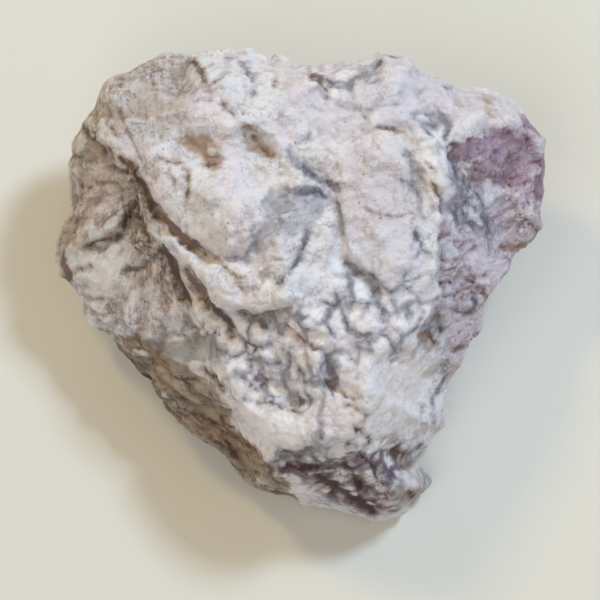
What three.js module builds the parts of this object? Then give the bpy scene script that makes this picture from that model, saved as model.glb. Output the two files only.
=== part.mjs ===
// Howlite: one rough, broken lump of chalky white mineral with a broad knobbly face.
// Millimetres, +Z up, resting on the small flat spot under its heaviest part.
//
// The stone is described as a solid formula, and a fine ball of triangles is shrunk onto it.
// Its face looks up and a little to the front. Positions on the face are counted on a
// square grid laid over it: the first number runs to the right, the second to the front.

import * as THREE from 'three';
import { mergeVertices } from 'three/addons/utils/BufferGeometryUtils.js';

// ---------------------------------------------------------------- driving sizes

const GRID = 0.115; // one step of the face grid
const GRID_MIDDLE = [297, 288.5]; // grid point over the middle of the stone
const FACE_LEAN = 10; // degrees the face leans to the front
const MIDDLE_HEIGHT = 14; // middle of the stone above its rest

const BALL_DETAIL = 21; // 20 * (21 + 1)^2 triangles
const SHRINK_ROUNDS = 40;
const EVEN_OUT = 0.55; // share of the way to its neighbours' middle a corner moves

const RIM_LEVEL = -3.5; // height of the widest line, measured out of the face
const RIM_RISE_BACK = 0.13; // that line climbs toward the back
const RIM_DROP_LEFT = 0.0085; // sinks to the left, times the square of the distance
const RIM_DROP_RIGHT = 0.003; // and less to the right
const RIM_WANDER = 2.0; // and wanders up and down by this much
const UPPER_BEVEL = { slope: 1.5, round: 3.0, reach: 0.9 };
const LOWER_BEVEL = { slope: 0.85, round: 2.6, reach: 0.9 };

const RIM_SPARE = 0.15; // makes up for the rounding of the rim
const FACET_SPARE = 2.5; // keeps the hidden facets from cutting the rim
const WARP = 0.45; // how far the face's lines wander
const WALL_WARP = 1.1; // how far the walls swell and dip away from the rim

const CHALK = 0xdcd7d0;

// ---------------------------------------------------------------- outline of the face

const OUTLINE = [
  [67, 137], [79, 125], [83, 115], [92, 107], [97, 95], [108, 81], [127, 72], [137, 66],
  [158, 56], [170, 52], [188, 57], [198, 52], [216, 50], [251, 51], [272, 57], [285, 59],
  [292, 66], [323, 66], [346, 64], [369, 59], [379, 54], [409, 56], [418, 68], [437, 78],
  [457, 89], [481, 87], [498, 91], [512, 98], [524, 108], [531, 120], [538, 135], [544, 140],
  [545, 167], [544, 190], [541, 205], [544, 224], [540, 234], [532, 244], [520, 249],
  [512, 257], [510, 268], [494, 290], [487, 300], [483, 313], [483, 327], [477, 338],
  [466, 350], [463, 365], [448, 384], [447, 402], [447, 425], [435, 437], [424, 451],
  [415, 461], [425, 471], [433, 481], [432, 490], [427, 497], [417, 505], [411, 507],
  [411, 515], [398, 523], [384, 527], [370, 524], [352, 519], [333, 513], [320, 513],
  [303, 507], [290, 501], [262, 495], [247, 487], [238, 478], [226, 461], [219, 453],
  [202, 441], [183, 427], [171, 416], [161, 403], [151, 389], [135, 371], [120, 356],
  [111, 343], [100, 332], [87, 323], [81, 311], [77, 298], [72, 287], [58, 276], [51, 265],
  [49, 252], [51, 238], [58, 224], [67, 211], [66, 180], [65, 155],
];

// ---------------------------------------------------------------- lumps of the face

// Each lump is closed by sloping planes; the lowest plane over a point is its surface.
// A plane: grid position, height there, climb to the right, climb to the back.
const LUMPS = [
  [
    [330, 270, 9.5, 0.02, -0.05], // broad front face
    [300, 120, 8.2, 0.02, -0.42], // falls away to the back edge
    [190, 190, 7.6, 0.3, -0.05], // left shoulder
    [210, 310, 6.3, 0.35, 0.18],
    [150, 238, 3.0, 3.0, 1.5], // wall of the long crease
    [222, 410, 6.4, 1.6, 1.55], // front left wall
    [330, 446, 7.2, 0.1, 1.15], // bench above the front tip
    [444, 290, 8.2, -1.3, 0.05], // right flank
    [446, 420, 4.0, -1.4, 0.9],
  ],
  [
    [150, 105, 3.4, 0.22, -0.35], // back left flank
    [95, 190, 0.0, 0.72, -0.05],
    [150, 250, 2.4, 0.3, 0.1],
    [140, 320, 0.9, 0.3, 0.5],
    [66, 262, -3.8, 0.9, 0.3],
    [120, 350, -1.5, 1.4, 1.5],
    [150, 200, 3.8, -0.8, -0.1], // dips under the main lump
  ],
  [
    [480, 112, 3.0, -0.28, -0.22], // corner block, top
    [495, 125, 2.4, -0.2, 0.8], // corner block, front face
    [520, 190, -1.0, -0.7, 0.25],
    [520, 236, -3.2, -0.3, 1.2],
    [452, 130, 3.6, 0.8, 0.1], // meets the main lump in a valley
  ],
  [
    [462, 290, 3.2, -0.75, 0.3], // apron under the right flank
    [500, 250, -1.2, -0.35, 0.35],
    [446, 290, 4.6, 0.9, 0.1],
    [470, 215, 3.6, -0.2, -0.7],
  ],
  [
    [420, 482, -2.5, -0.3, 0.1], // spur beside the front tip
    [412, 482, -2.4, 1.4, 0.1],
    [420, 466, -2.4, 0.1, -1.4],
  ],
];

// ---------------------------------------------------------------- knobs, shelves and steps

// A raised or sunk patch: rise, width of its edge, outline.
const PATCHES = [
  {
    rise: 1.3, // upper knob
    edge: 0.9,
    outline: [
      [150, 190], [163, 165], [190, 160], [215, 166], [243, 176], [262, 196],
      [264, 222], [250, 246], [228, 257], [204, 248], [182, 230], [163, 214],
    ],
  },
  {
    rise: 1.1, // long lobe below it
    edge: 0.8,
    outline: [
      [165, 224], [186, 246], [206, 258], [232, 262], [262, 282], [296, 298],
      [284, 309], [262, 317], [240, 311], [218, 298], [196, 278], [176, 252],
    ],
  },
  {
    rise: 1.0, // upright oval tablet
    edge: 0.8,
    outline: [
      [342, 160], [356, 142], [378, 136], [398, 142], [409, 160], [413, 190], [414, 225],
      [418, 258], [407, 284], [388, 292], [362, 276], [344, 252], [337, 215], [337, 185],
    ],
  },
  {
    rise: 0.5, // strip beside the tablet
    edge: 0.6,
    outline: [[414, 132], [430, 128], [437, 150], [440, 190], [424, 186], [414, 165]],
  },
  {
    rise: 1.0, // block on the back edge
    edge: 0.7,
    outline: [[196, 60], [222, 52], [250, 60], [252, 80], [228, 92], [208, 90]],
  },
  {
    rise: 0.4, // wedge in the middle
    edge: 0.8,
    outline: [
      [300, 160], [322, 182], [334, 196], [336, 240], [318, 262],
      [292, 292], [270, 280], [262, 250], [270, 222], [296, 196],
    ],
  },
  {
    rise: 0.7, // large lower right face
    edge: 1.0,
    outline: [
      [352, 355], [380, 345], [430, 352], [446, 380], [446, 420],
      [424, 446], [400, 440], [380, 410], [352, 392],
    ],
  },
  {
    rise: 0.5, // lower left face
    edge: 0.9,
    outline: [[236, 402], [270, 396], [312, 410], [316, 436], [290, 450], [262, 446]],
  },
  {
    rise: 0.8, // knob above it
    edge: 0.8,
    outline: [[284, 352], [300, 346], [318, 352], [322, 372], [316, 392], [294, 396], [284, 378]],
  },
  {
    rise: -1.7, // shelf under the left flank
    edge: 0.9,
    outline: [
      [49, 262], [70, 254], [95, 248], [120, 228], [132, 222], [150, 262],
      [176, 300], [205, 340], [150, 350], [100, 340], [60, 290],
    ],
  },
];

// A groove or crack: depth, half width, line.
const GROOVES = [
  { depth: 1.6, half: 1.0, line: [[146, 196], [162, 220], [184, 240], [206, 254], [226, 264]] },
  {
    depth: 2.4, // the long crease
    half: 1.4,
    line: [
      [124, 166], [136, 192], [142, 216], [154, 240], [168, 264],
      [182, 287], [198, 308], [216, 330], [232, 348],
    ],
  },
  { depth: 1.2, half: 0.8, line: [[356, 140], [372, 132], [392, 131], [410, 137]] },
  { depth: 1.6, half: 1.3, line: [[186, 142], [200, 150], [214, 164], [224, 176]] },
  { depth: 1.0, half: 0.9, line: [[243, 126], [258, 142], [276, 158]] },
  { depth: 1.0, half: 0.8, line: [[238, 312], [262, 320], [292, 306]] },
  {
    depth: 0.8, // between the wedge and the tablet
    half: 0.8,
    line: [[290, 150], [304, 166], [322, 182], [336, 194], [340, 220], [338, 250], [330, 270]],
  },
  {
    depth: 0.7, // right side of the tablet
    half: 0.8,
    line: [
      [408, 142], [412, 170], [418, 200], [414, 224],
      [414, 250], [424, 262], [412, 280], [402, 296],
    ],
  },
  { depth: 1.0, half: 0.8, line: [[342, 262], [356, 276], [374, 292], [384, 300]] },
  {
    depth: 2.0, // cleft over the front tip
    half: 1.2,
    line: [[268, 448], [288, 460], [312, 468], [336, 472], [360, 464], [384, 466], [404, 474]],
  },
  { depth: 1.4, half: 1.1, line: [[300, 470], [324, 488], [350, 500], [376, 512]] },
  { depth: 1.4, half: 0.8, line: [[330, 380], [342, 388], [352, 396]] },
  { depth: 0.8, half: 0.8, line: [[316, 340], [332, 352], [334, 380], [330, 410], [326, 440]] },
  {
    depth: 0.8,
    half: 0.8,
    line: [[222, 330], [246, 344], [268, 352], [284, 366], [282, 384], [294, 398], [314, 400]],
  },
  { depth: 0.7, half: 0.8, line: [[240, 372], [262, 378], [284, 392]] },
  { depth: 1.4, half: 1.2, line: [[444, 146], [452, 158], [458, 172]] },
  { depth: 1.4, half: 0.9, line: [[78, 256], [96, 250], [112, 240], [126, 228], [132, 216]] },
  { depth: 0.8, half: 0.8, line: [[122, 272], [140, 264], [156, 258]] },
];

// ---------------------------------------------------------------- hidden underside

const REST_MIDDLE = [1, 4]; // middle of the flat spot

// Lower facets: compass direction, downward lean, distance from the middle of the rest to their foot.
const LOWER_FACETS = [
  [75, 44, 10], [112, 48, 9.5], [150, 62, 10.5], [188, 77, 10.5], [226, 79, 10],
  [266, 80, 11], [298, 81, 10], [335, 74, 9], [8, 54, 10.5], [42, 48, 11.5],
];

// Side facets: compass direction, downward lean, how far each cuts in past the rim.
const SIDE_FACETS = [
  [240, 40, 1.0], [285, 36, 0.6], [325, 30, 1.2], [352, 24, 1.0], [28, 30, 1.6],
  [66, 20, 1.2], [100, 26, 1.0], [134, 30, 1.6], [168, 24, 1.2], [202, 30, 1.0],
];

// ---------------------------------------------------------------- small tools

const rad = (degrees) => (degrees * Math.PI) / 180;
const clamp01 = (value) => Math.min(1, Math.max(0, value));
const ease = (t) => t * t * (3 - 2 * t);
const onFace = ([x, y]) => [(x - GRID_MIDDLE[0]) * GRID, (GRID_MIDDLE[1] - y) * GRID];

const LEAN_COS = Math.cos(rad(FACE_LEAN));
const LEAN_SIN = Math.sin(rad(FACE_LEAN));

function smoothMin(a, b, blend) {
  const t = clamp01(0.5 + (0.5 * (b - a)) / blend);
  return b * (1 - t) + a * t - blend * t * (1 - t);
}

function smoothMax(a, b, blend) {
  return -smoothMin(-a, -b, blend);
}

// World point to face position: right, back, out of the face.
function toFace(x, y, z) {
  const rise = z - MIDDLE_HEIGHT;
  return [x, y * LEAN_COS + rise * LEAN_SIN, rise * LEAN_COS - y * LEAN_SIN];
}

function toWorld(u, v, w) {
  return [u, v * LEAN_COS - w * LEAN_SIN, MIDDLE_HEIGHT + v * LEAN_SIN + w * LEAN_COS];
}

// Nearest point of a chain of straight pieces: distance and share of the length before it.
function makeChain(points, closed) {
  const pieces = [];
  const count = closed ? points.length : points.length - 1;
  let total = 0;
  const box = { left: Infinity, right: -Infinity, front: Infinity, back: -Infinity };
  for (let i = 0; i < count; i += 1) {
    const [ax, ay] = points[i];
    const [bx, by] = points[(i + 1) % points.length];
    const length = Math.hypot(bx - ax, by - ay);
    pieces.push({ ax, ay, ex: bx - ax, ey: by - ay, length, before: total });
    total += length;
  }
  for (const [x, y] of points) {
    box.left = Math.min(box.left, x);
    box.right = Math.max(box.right, x);
    box.front = Math.min(box.front, y);
    box.back = Math.max(box.back, y);
  }
  return { pieces, total, box };
}

function nearest(chain, u, v) {
  let best = Infinity;
  let along = 0;
  for (const piece of chain.pieces) {
    const du = u - piece.ax;
    const dv = v - piece.ay;
    const t = clamp01((du * piece.ex + dv * piece.ey) / (piece.length * piece.length));
    const distance = Math.hypot(du - t * piece.ex, dv - t * piece.ey);
    if (distance < best) {
      best = distance;
      along = (piece.before + t * piece.length) / chain.total;
    }
  }
  return { distance: best, along };
}

function isNear({ box }, u, v, margin) {
  return u > box.left - margin && u < box.right + margin
    && v > box.front - margin && v < box.back + margin;
}

// Signed distance to a closed outline, negative inside.
function insideDistance(chain, u, v) {
  let inside = false;
  for (const { ax, ay, ex, ey } of chain.pieces) {
    const by = ay + ey;
    if (ay > v !== by > v && u < (ex * (v - ay)) / ey + ax) {
      inside = !inside;
    }
  }
  const { distance } = nearest(chain, u, v);
  return inside ? -distance : distance;
}

// ---------------------------------------------------------------- broken-surface texture

// Repeatable scatter: the same whole numbers always give the same share from 0 to 1.
function scatter(i, j, k, seed) {
  const n = Math.sin(i * 127.1 + j * 311.7 + k * 74.7 + seed * 53.3) * 43758.5453;
  return n - Math.floor(n);
}

// Smooth unevenness from -1 to 1.
function unevenness(x, y, z, seed) {
  const i = Math.floor(x);
  const j = Math.floor(y);
  const k = Math.floor(z);
  const fx = ease(x - i);
  const fy = ease(y - j);
  const fz = ease(z - k);
  let sum = 0;
  for (let corner = 0; corner < 8; corner += 1) {
    const a = corner & 1;
    const b = (corner >> 1) & 1;
    const c = corner >> 2;
    const weight = (a ? fx : 1 - fx) * (b ? fy : 1 - fy) * (c ? fz : 1 - fz);
    sum += weight * scatter(i + a, j + b, k + c, seed);
  }
  return sum * 2 - 1;
}

// Chips: the lowest of many tilted bowls, one round each scattered centre.
function chips(x, y, z, seed) {
  const i = Math.floor(x);
  const j = Math.floor(y);
  const k = Math.floor(z);
  let lowest = Infinity;
  for (let n = 0; n < 27; n += 1) {
    const ci = i + (n % 3) - 1;
    const cj = j + (Math.floor(n / 3) % 3) - 1;
    const ck = k + Math.floor(n / 9) - 1;
    const dx = x - ci - scatter(ci, cj, ck, seed + 1);
    const dy = y - cj - scatter(ci, cj, ck, seed + 2);
    const dz = z - ck - scatter(ci, cj, ck, seed + 3);
    const tilt = dx * (scatter(ci, cj, ck, seed + 4) - 0.5)
      + dy * (scatter(ci, cj, ck, seed + 5) - 0.5)
      + dz * (scatter(ci, cj, ck, seed + 6) - 0.5);
    lowest = Math.min(lowest, 0.55 * (dx * dx + dy * dy + dz * dz) + tilt);
  }
  return lowest;
}

const BIG_CHIP = 6.5;
const SMALL_CHIP = 3.4;

// How far the broken surface stands back from the plain form.
function roughness(x, y, z) {
  const big = BIG_CHIP * (chips(x / BIG_CHIP, y / BIG_CHIP, z / BIG_CHIP, 3) - 0.1);
  const small = SMALL_CHIP * (chips(x / SMALL_CHIP, y / SMALL_CHIP, z / SMALL_CHIP, 7) - 0.1);
  const waves = 0.2 * unevenness(x / 4, y / 4, z / 4, 21);
  const grain = 0.1 * unevenness(x / 1.9, y / 1.9, z / 1.9, 22);
  return -0.34 * big - 0.14 * small + waves + grain;
}

// ---------------------------------------------------------------- the solid formula

const RIM = makeChain(OUTLINE.map(onFace), true);

const LUMP_PLANES = LUMPS.map((planes) => planes.map(([x, y, height, right, back]) => {
  const [u, v] = onFace([x, y]);
  return { u, v, height, right, back };
}));

const PATCH_SHAPES = PATCHES.map(({ rise, edge, outline }) => ({
  rise,
  edge,
  chain: makeChain(outline.map(onFace), true),
}));

const GROOVE_SHAPES = GROOVES.map(({ depth, half, line }) => ({
  depth,
  half,
  chain: makeChain(line.map(onFace), false),
}));

function rimLevel(u, v) {
  const drop = u < 0 ? RIM_DROP_LEFT : RIM_DROP_RIGHT;
  return RIM_LEVEL + RIM_RISE_BACK * v - drop * u * u;
}

function downward(compass, lean) {
  return [
    Math.cos(rad(compass)) * Math.cos(rad(lean)),
    Math.sin(rad(compass)) * Math.cos(rad(lean)),
    -Math.sin(rad(lean)),
  ];
}

const LOWER_PLANES = LOWER_FACETS.map(([compass, lean, foot]) => {
  const [nx, ny, nz] = downward(compass, lean);
  const fromMiddle = nx * REST_MIDDLE[0] + ny * REST_MIDDLE[1];
  return { nx, ny, nz, reach: fromMiddle + foot * Math.cos(rad(lean)) };
});

const SIDE_PLANES = SIDE_FACETS.map(([compass, lean, cut]) => {
  const [nx, ny, nz] = downward(compass, lean);
  let reach = -Infinity;
  for (const [u, v] of OUTLINE.map(onFace)) {
    const [x, y, z] = toWorld(u, v, rimLevel(u, v));
    reach = Math.max(reach, nx * x + ny * y + nz * z);
  }
  return { nx, ny, nz, reach: reach - cut };
});

const FACET_PLANES = [...LOWER_PLANES, ...SIDE_PLANES];

function lumpHeight(u, v) {
  let top = -Infinity;
  for (const planes of LUMP_PLANES) {
    let lowest = Infinity;
    for (const plane of planes) {
      const here = plane.height + plane.right * (u - plane.u) + plane.back * (v - plane.v);
      lowest = lowest === Infinity ? here : smoothMin(lowest, here, 0.5);
    }
    top = top === -Infinity ? lowest : smoothMax(top, lowest, 0.6);
  }
  return top;
}

function reliefHeight(u, v) {
  let height = 0;
  for (const { rise, edge, chain } of PATCH_SHAPES) {
    if (isNear(chain, u, v, edge)) {
      const d = insideDistance(chain, u, v);
      height += rise * (0.75 * ease(clamp01(0.5 - d / (2 * edge))) + 0.25 * clamp01(-d / 3));
    }
  }
  for (const { depth, half, chain } of GROOVE_SHAPES) {
    if (isNear(chain, u, v, 2 * half)) {
      const { distance, along } = nearest(chain, u, v);
      const ends = clamp01(5 * Math.min(along, 1 - along) + 0.25);
      height -= depth * ends * ease(clamp01(1 - distance / (2 * half)));
    }
  }
  return height;
}

// Room above or below the rim line at a distance inside the outline.
function bevelRoom(inside, { slope, round, reach }) {
  if (inside < 0) {
    return inside * (slope + round / reach);
  }
  return slope * inside + round * (1 - Math.exp(-inside / reach));
}

// Roughly the distance to the stone's surface, negative inside.
function stone(x, y, z) {
  const [u, v, w] = toFace(x, y, z);
  const warpU = unevenness(x / 7, y / 7, z / 7, 11) + 0.5 * unevenness(x / 3, y / 3, z / 3, 12);
  const warpV = unevenness(x / 7, y / 7, z / 7, 13) + 0.5 * unevenness(x / 3, y / 3, z / 3, 14);
  const height = lumpHeight(u + WARP * warpU, v + WARP * warpV)
    + reliefHeight(u + WARP * warpU / 2, v + WARP * warpV / 2);
  const wander = RIM_WANDER * unevenness(x / 13, y / 13, 0.5, 31);
  const fromRim = w - rimLevel(u, v) - wander;
  const bevel = fromRim > 0 ? UPPER_BEVEL : LOWER_BEVEL;
  const lean = WALL_WARP * clamp01(Math.abs(fromRim) / 4);
  const inside = RIM_SPARE - insideDistance(RIM, u + lean * warpU, v + lean * warpV);
  const steep = bevel.slope + (bevel.round / bevel.reach) * Math.exp(-Math.max(0, inside) / bevel.reach);
  const room = (Math.abs(fromRim) - bevelRoom(inside, bevel)) / Math.hypot(1, steep);
  let solid = smoothMax(0.75 * (w - height), room, 0.5);
  const spared = FACET_SPARE * clamp01(1 + fromRim / 3);
  for (const { nx, ny, nz, reach } of FACET_PLANES) {
    solid = smoothMax(solid, nx * x + ny * y + nz * z - reach - spared, 0.6);
  }
  const offRim = clamp01(Math.hypot(inside, fromRim) / 3);
  solid += roughness(x, y, z) * (0.2 + 0.8 * offRim);
  return Math.max(solid, -z);
}

// ---------------------------------------------------------------- shrinking the ball onto it

const FRONT_END = rad(98); // the ball's cap that covers the face
const WALL_END = rad(124); // the band below it covers the sides, the rest goes underneath

function rimRadius(angle) {
  const cos = Math.cos(angle);
  const sin = Math.sin(angle);
  let radius = 0;
  for (const { ax, ay, ex, ey } of RIM.pieces) {
    const cross = cos * ey - sin * ex;
    const t = (ay * cos - ax * sin) / -cross;
    const r = (ax * ey - ay * ex) / cross;
    if (t >= 0 && t <= 1 && r > radius) {
      radius = r;
    }
  }
  return radius;
}

// First guess: the ball's point moved over or under the face, or onto its side.
function firstGuess(x, y, z) {
  const fromPole = Math.acos(Math.min(1, Math.max(-1, z)));
  const angle = Math.atan2(y, x);
  const radius = rimRadius(angle);
  let share = 1;
  let w = 0;
  if (fromPole < FRONT_END) {
    share = Math.sin(fromPole / 2) / Math.sin(FRONT_END / 2);
    w = 7 - 3 * share;
  } else if (fromPole < WALL_END) {
    w = 4 - (14 * (fromPole - FRONT_END)) / (WALL_END - FRONT_END);
  } else {
    share = Math.cos(fromPole / 2) / Math.cos(WALL_END / 2);
    w = -14 + 4 * share;
  }
  return toWorld(share * radius * Math.cos(angle), share * radius * Math.sin(angle), w);
}

function moveToSurface(points, mostMove) {
  const step = 0.05;
  for (let n = 0; n < points.length; n += 3) {
    const [x, y, z] = [points[n], points[n + 1], points[n + 2]];
    const here = stone(x, y, z);
    const gx = (stone(x + step, y, z) - here) / step;
    const gy = (stone(x, y + step, z) - here) / step;
    const gz = (stone(x, y, z + step) - here) / step;
    const steepness = Math.max(0.3, gx * gx + gy * gy + gz * gz);
    const wanted = here / steepness;
    const size = Math.abs(wanted) * Math.sqrt(gx * gx + gy * gy + gz * gz);
    const factor = wanted * Math.min(1, mostMove / Math.max(size, 1e-9));
    points[n] = x - gx * factor;
    points[n + 1] = y - gy * factor;
    points[n + 2] = z - gz * factor;
  }
}

function neighbourLists(index, count) {
  const lists = Array.from({ length: count }, () => new Set());
  for (let n = 0; n < index.length; n += 3) {
    const corners = [index[n], index[n + 1], index[n + 2]];
    for (const a of corners) {
      for (const b of corners) {
        if (a !== b) {
          lists[a].add(b);
        }
      }
    }
  }
  return lists.map((list) => [...list]);
}

function evenOut(points, lists, share) {
  const before = points.slice();
  lists.forEach((list, corner) => {
    for (let axis = 0; axis < 3; axis += 1) {
      let mean = 0;
      for (const other of list) {
        mean += before[3 * other + axis] / list.length;
      }
      points[3 * corner + axis] += share * (mean - before[3 * corner + axis]);
    }
  });
}

function shrinkWrap() {
  const ball = new THREE.IcosahedronGeometry(1, BALL_DETAIL);
  ball.deleteAttribute('normal');
  ball.deleteAttribute('uv');
  const joined = mergeVertices(ball, 1e-4);
  const index = joined.index.array;
  const start = joined.attributes.position;
  const points = new Float64Array(start.count * 3);
  for (let n = 0; n < start.count; n += 1) {
    points.set(firstGuess(start.getX(n), start.getY(n), start.getZ(n)), 3 * n);
  }
  const lists = neighbourLists(index, start.count);
  for (let round = 0; round < SHRINK_ROUNDS; round += 1) {
    moveToSurface(points, round < 4 ? 3 : 1);
    evenOut(points, lists, EVEN_OUT);
  }
  for (let round = 0; round < 4; round += 1) {
    moveToSurface(points, 0.6);
  }
  return { points, index };
}

// The rest is made exactly flat, and the stone is centred over its own box.
function settle(points) {
  let [left, right, front, back] = [Infinity, -Infinity, Infinity, -Infinity];
  for (let n = 0; n < points.length; n += 3) {
    left = Math.min(left, points[n]);
    right = Math.max(right, points[n]);
    front = Math.min(front, points[n + 1]);
    back = Math.max(back, points[n + 1]);
  }
  for (let n = 0; n < points.length; n += 3) {
    points[n] -= (left + right) / 2;
    points[n + 1] -= (front + back) / 2;
    if (points[n + 2] < 0.02) {
      points[n + 2] = 0;
    }
  }
}

// ---------------------------------------------------------------- the part

const { points, index } = shrinkWrap();
settle(points);

const geometry = new THREE.BufferGeometry();
geometry.setAttribute('position', new THREE.Float32BufferAttribute(points, 3));
geometry.setIndex([...index]);
geometry.computeVertexNormals();

const chalk = new THREE.MeshStandardMaterial({ color: CHALK, roughness: 0.85, metalness: 0 });
const howlite = new THREE.Mesh(geometry, chalk);
howlite.name = 'howlite';

const group = new THREE.Group();
group.name = 'howlite_lump';
group.add(howlite);

export default group;
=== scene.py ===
# %% [markdown]
# # A lump of howlite
# Howlite is a soft, chalky white mineral. It grows in clay as knobbly masses, and other
# minerals fill the cracks between the knobs, so a broken lump is white with a net of grey
# veins. This lump has a broad knobbly face, a tan flank on its left, a long brown crease, a
# mauve corner block, and a dark hollow over its front tip.
#
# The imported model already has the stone's size and its large forms. The script loads it,
# grows a finer skin over the same forms, adds the small relief, paints it with a material
# that is worked out from formulas, and sets a floor, three lights and a camera around it.

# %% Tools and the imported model
import math
from concurrent.futures import ThreadPoolExecutor

import bmesh
import bpy
import numpy as np
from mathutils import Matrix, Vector


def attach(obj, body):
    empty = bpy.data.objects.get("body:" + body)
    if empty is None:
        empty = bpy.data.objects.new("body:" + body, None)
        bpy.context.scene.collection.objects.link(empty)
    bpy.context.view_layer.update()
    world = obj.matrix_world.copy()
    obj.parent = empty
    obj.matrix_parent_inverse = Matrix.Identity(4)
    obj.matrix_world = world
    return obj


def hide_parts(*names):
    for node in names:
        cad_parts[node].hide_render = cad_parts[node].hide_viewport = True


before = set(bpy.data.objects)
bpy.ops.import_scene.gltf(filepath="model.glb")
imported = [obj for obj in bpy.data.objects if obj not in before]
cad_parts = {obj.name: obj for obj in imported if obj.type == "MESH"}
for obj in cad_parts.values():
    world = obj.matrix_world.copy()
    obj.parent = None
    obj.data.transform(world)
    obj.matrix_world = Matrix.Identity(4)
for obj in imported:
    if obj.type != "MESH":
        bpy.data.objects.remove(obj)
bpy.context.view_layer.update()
MM = 0.001
scene = bpy.context.scene

# %% [markdown]
# ## The face and its grid
# The broad face looks up and leans a little to the front. It helps to have a grid on it,
# like the squares a painter draws over a canvas: every knob, vein and stain below is placed
# by two grid numbers, to the right and to the front. A point's third number is its height
# out of the face. The stone's formula was written before the stone was centred over its
# box, so two small numbers say how far it was moved.

# %% Face grid
GRID = 0.115  # mm in one grid step
GRID_SIZE = 600  # steps across the camera's view
GRID_MIDDLE = (297, 288.5)
FACE_LEAN = math.radians(10)
MIDDLE_HEIGHT = 14
CENTRED_BY = np.array([0.246, 0.977, 0.0])
LEAN_COS = math.cos(FACE_LEAN)
LEAN_SIN = math.sin(FACE_LEAN)


def on_face(points):
    """Grid positions as millimetres on the face, right and back."""
    return (np.array(points, float) - GRID_MIDDLE) * (GRID, -GRID)


def to_face(points):
    """Points of the stone as right, back and out of the face."""
    x, y, rise = points[:, 0], points[:, 1], points[:, 2] - MIDDLE_HEIGHT
    return x, y * LEAN_COS + rise * LEAN_SIN, rise * LEAN_COS - y * LEAN_SIN


print("face grid, mm across:", round(GRID * GRID_SIZE, 1))

# %% [markdown]
# ## Camera
# The camera looks straight at the face. Its lens follows from two facts: how far it stands
# and how much it should see. The sensor is 36 mm wide, so seeing a width w from a distance d
# takes a lens of 36 * d / w.

# %% Camera
CAMERA_AWAY = 0.5
SENSOR = 36
NEAREST_SEEN = 0.01
face_out = Vector((0, -LEAN_SIN, LEAN_COS))
face_up = Vector((0, LEAN_COS, LEAN_SIN))
view_width = GRID_SIZE * GRID * MM
off_right = (GRID_SIZE / 2 - GRID_MIDDLE[0]) * GRID * MM
off_up = (GRID_MIDDLE[1] - GRID_SIZE / 2) * GRID * MM
face_middle = Vector((0, 0, MIDDLE_HEIGHT)) * MM - Vector(CENTRED_BY) * MM
aim = face_middle + Vector((off_right, 0, 0)) + face_up * off_up

lens = bpy.data.cameras.new("face_camera")
lens.sensor_width = SENSOR
lens.lens = SENSOR * CAMERA_AWAY / view_width
lens.clip_start = NEAREST_SEEN
camera = bpy.data.objects.new("face_camera", lens)
camera.location = aim + face_out * CAMERA_AWAY
camera.rotation_euler = (-face_out).to_track_quat("-Z", "Y").to_euler()
scene.collection.objects.link(camera)
scene.camera = camera
print("lens, mm:", round(lens.lens, 1))

# %% [markdown]
# ## Soft studio light
# Two soft area lights stand behind the stone: a stronger, cooler one on the right and a
# weaker, warmer one on the left. Where one of them is shaded, the other still reaches the
# floor, so the shadow on the left is tan and the one on the right is blue-grey. A wide, weak
# light at the front and a pale world fill the rest.

# %% Lights
LIGHT_AWAY = 0.8
# A light: compass turn and height in degrees, power, colour, side in metres.
LIGHTS = {
    "right_window": (45, 48, 3.9, (0.59, 0.78, 1.0), 0.12),
    "left_window": (128, 45, 1.3, (1.0, 0.75, 0.3), 0.12),
    "front_fill": (235, 55, 1.65, (0.90, 0.95, 1.0), 0.6),
}
SKY_COLOUR = (1.0, 0.92, 0.80, 1)
SKY_STRENGTH = 0.32


def soft_light(name, turn, height, power, colour, side):
    """An area light that is aimed at the stone."""
    turn, height = math.radians(turn), math.radians(height)
    level = math.cos(height)
    away = Vector((math.cos(turn) * level, math.sin(turn) * level, math.sin(height)))
    lamp = bpy.data.lights.new(name, "AREA")
    lamp.size = side
    lamp.energy = power
    lamp.color = colour
    stand = bpy.data.objects.new(name, lamp)
    stand.location = away * LIGHT_AWAY
    stand.rotation_euler = (-away).to_track_quat("-Z", "Y").to_euler()
    scene.collection.objects.link(stand)


for name, settings in LIGHTS.items():
    soft_light(name, *settings)
world = bpy.data.worlds.new("pale_room")
world.use_nodes = True
sky = world.node_tree.nodes["Background"]
sky.inputs["Color"].default_value = SKY_COLOUR
sky.inputs["Strength"].default_value = SKY_STRENGTH
scene.world = world
scene.view_settings.view_transform = "Standard"
print("lights:", ", ".join(LIGHTS))

# %% [markdown]
# ## Floor
# The stone lies on a plain cream board. One flat square is enough for it, wide enough to
# fill every view, with a dull paint so that no window shows in it. Screen colours are not
# what a shader counts with, so a small function turns one into the other.

# %% Cream board
FLOOR_REACH = 1.5
FLOOR_ROUGHNESS = 0.75


def paint(red, green, blue):
    """A screen colour, 0 to 255, as the linear colour that shaders use."""
    def linear(part):
        part /= 255
        return part / 12.92 if part <= 0.04045 else ((part + 0.055) / 1.055) ** 2.4
    return (linear(red), linear(green), linear(blue), 1.0)


r = FLOOR_REACH
board_mesh = bpy.data.meshes.new("cream_board")
board_mesh.from_pydata([(-r, -r, 0), (r, -r, 0), (r, r, 0), (-r, r, 0)], [], [(0, 1, 2, 3)])
board = bpy.data.objects.new("cream_board", board_mesh)
scene.collection.objects.link(board)
board_paint = bpy.data.materials.new("cream_board")
board_paint.use_nodes = True
board_shader = board_paint.node_tree.nodes["Principled BSDF"]
board_shader.inputs["Base Color"].default_value = paint(231, 226, 214)
board_shader.inputs["Roughness"].default_value = FLOOR_ROUGHNESS
board_mesh.materials.append(board_paint)
print("floor, m across:", 2 * FLOOR_REACH)

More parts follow.
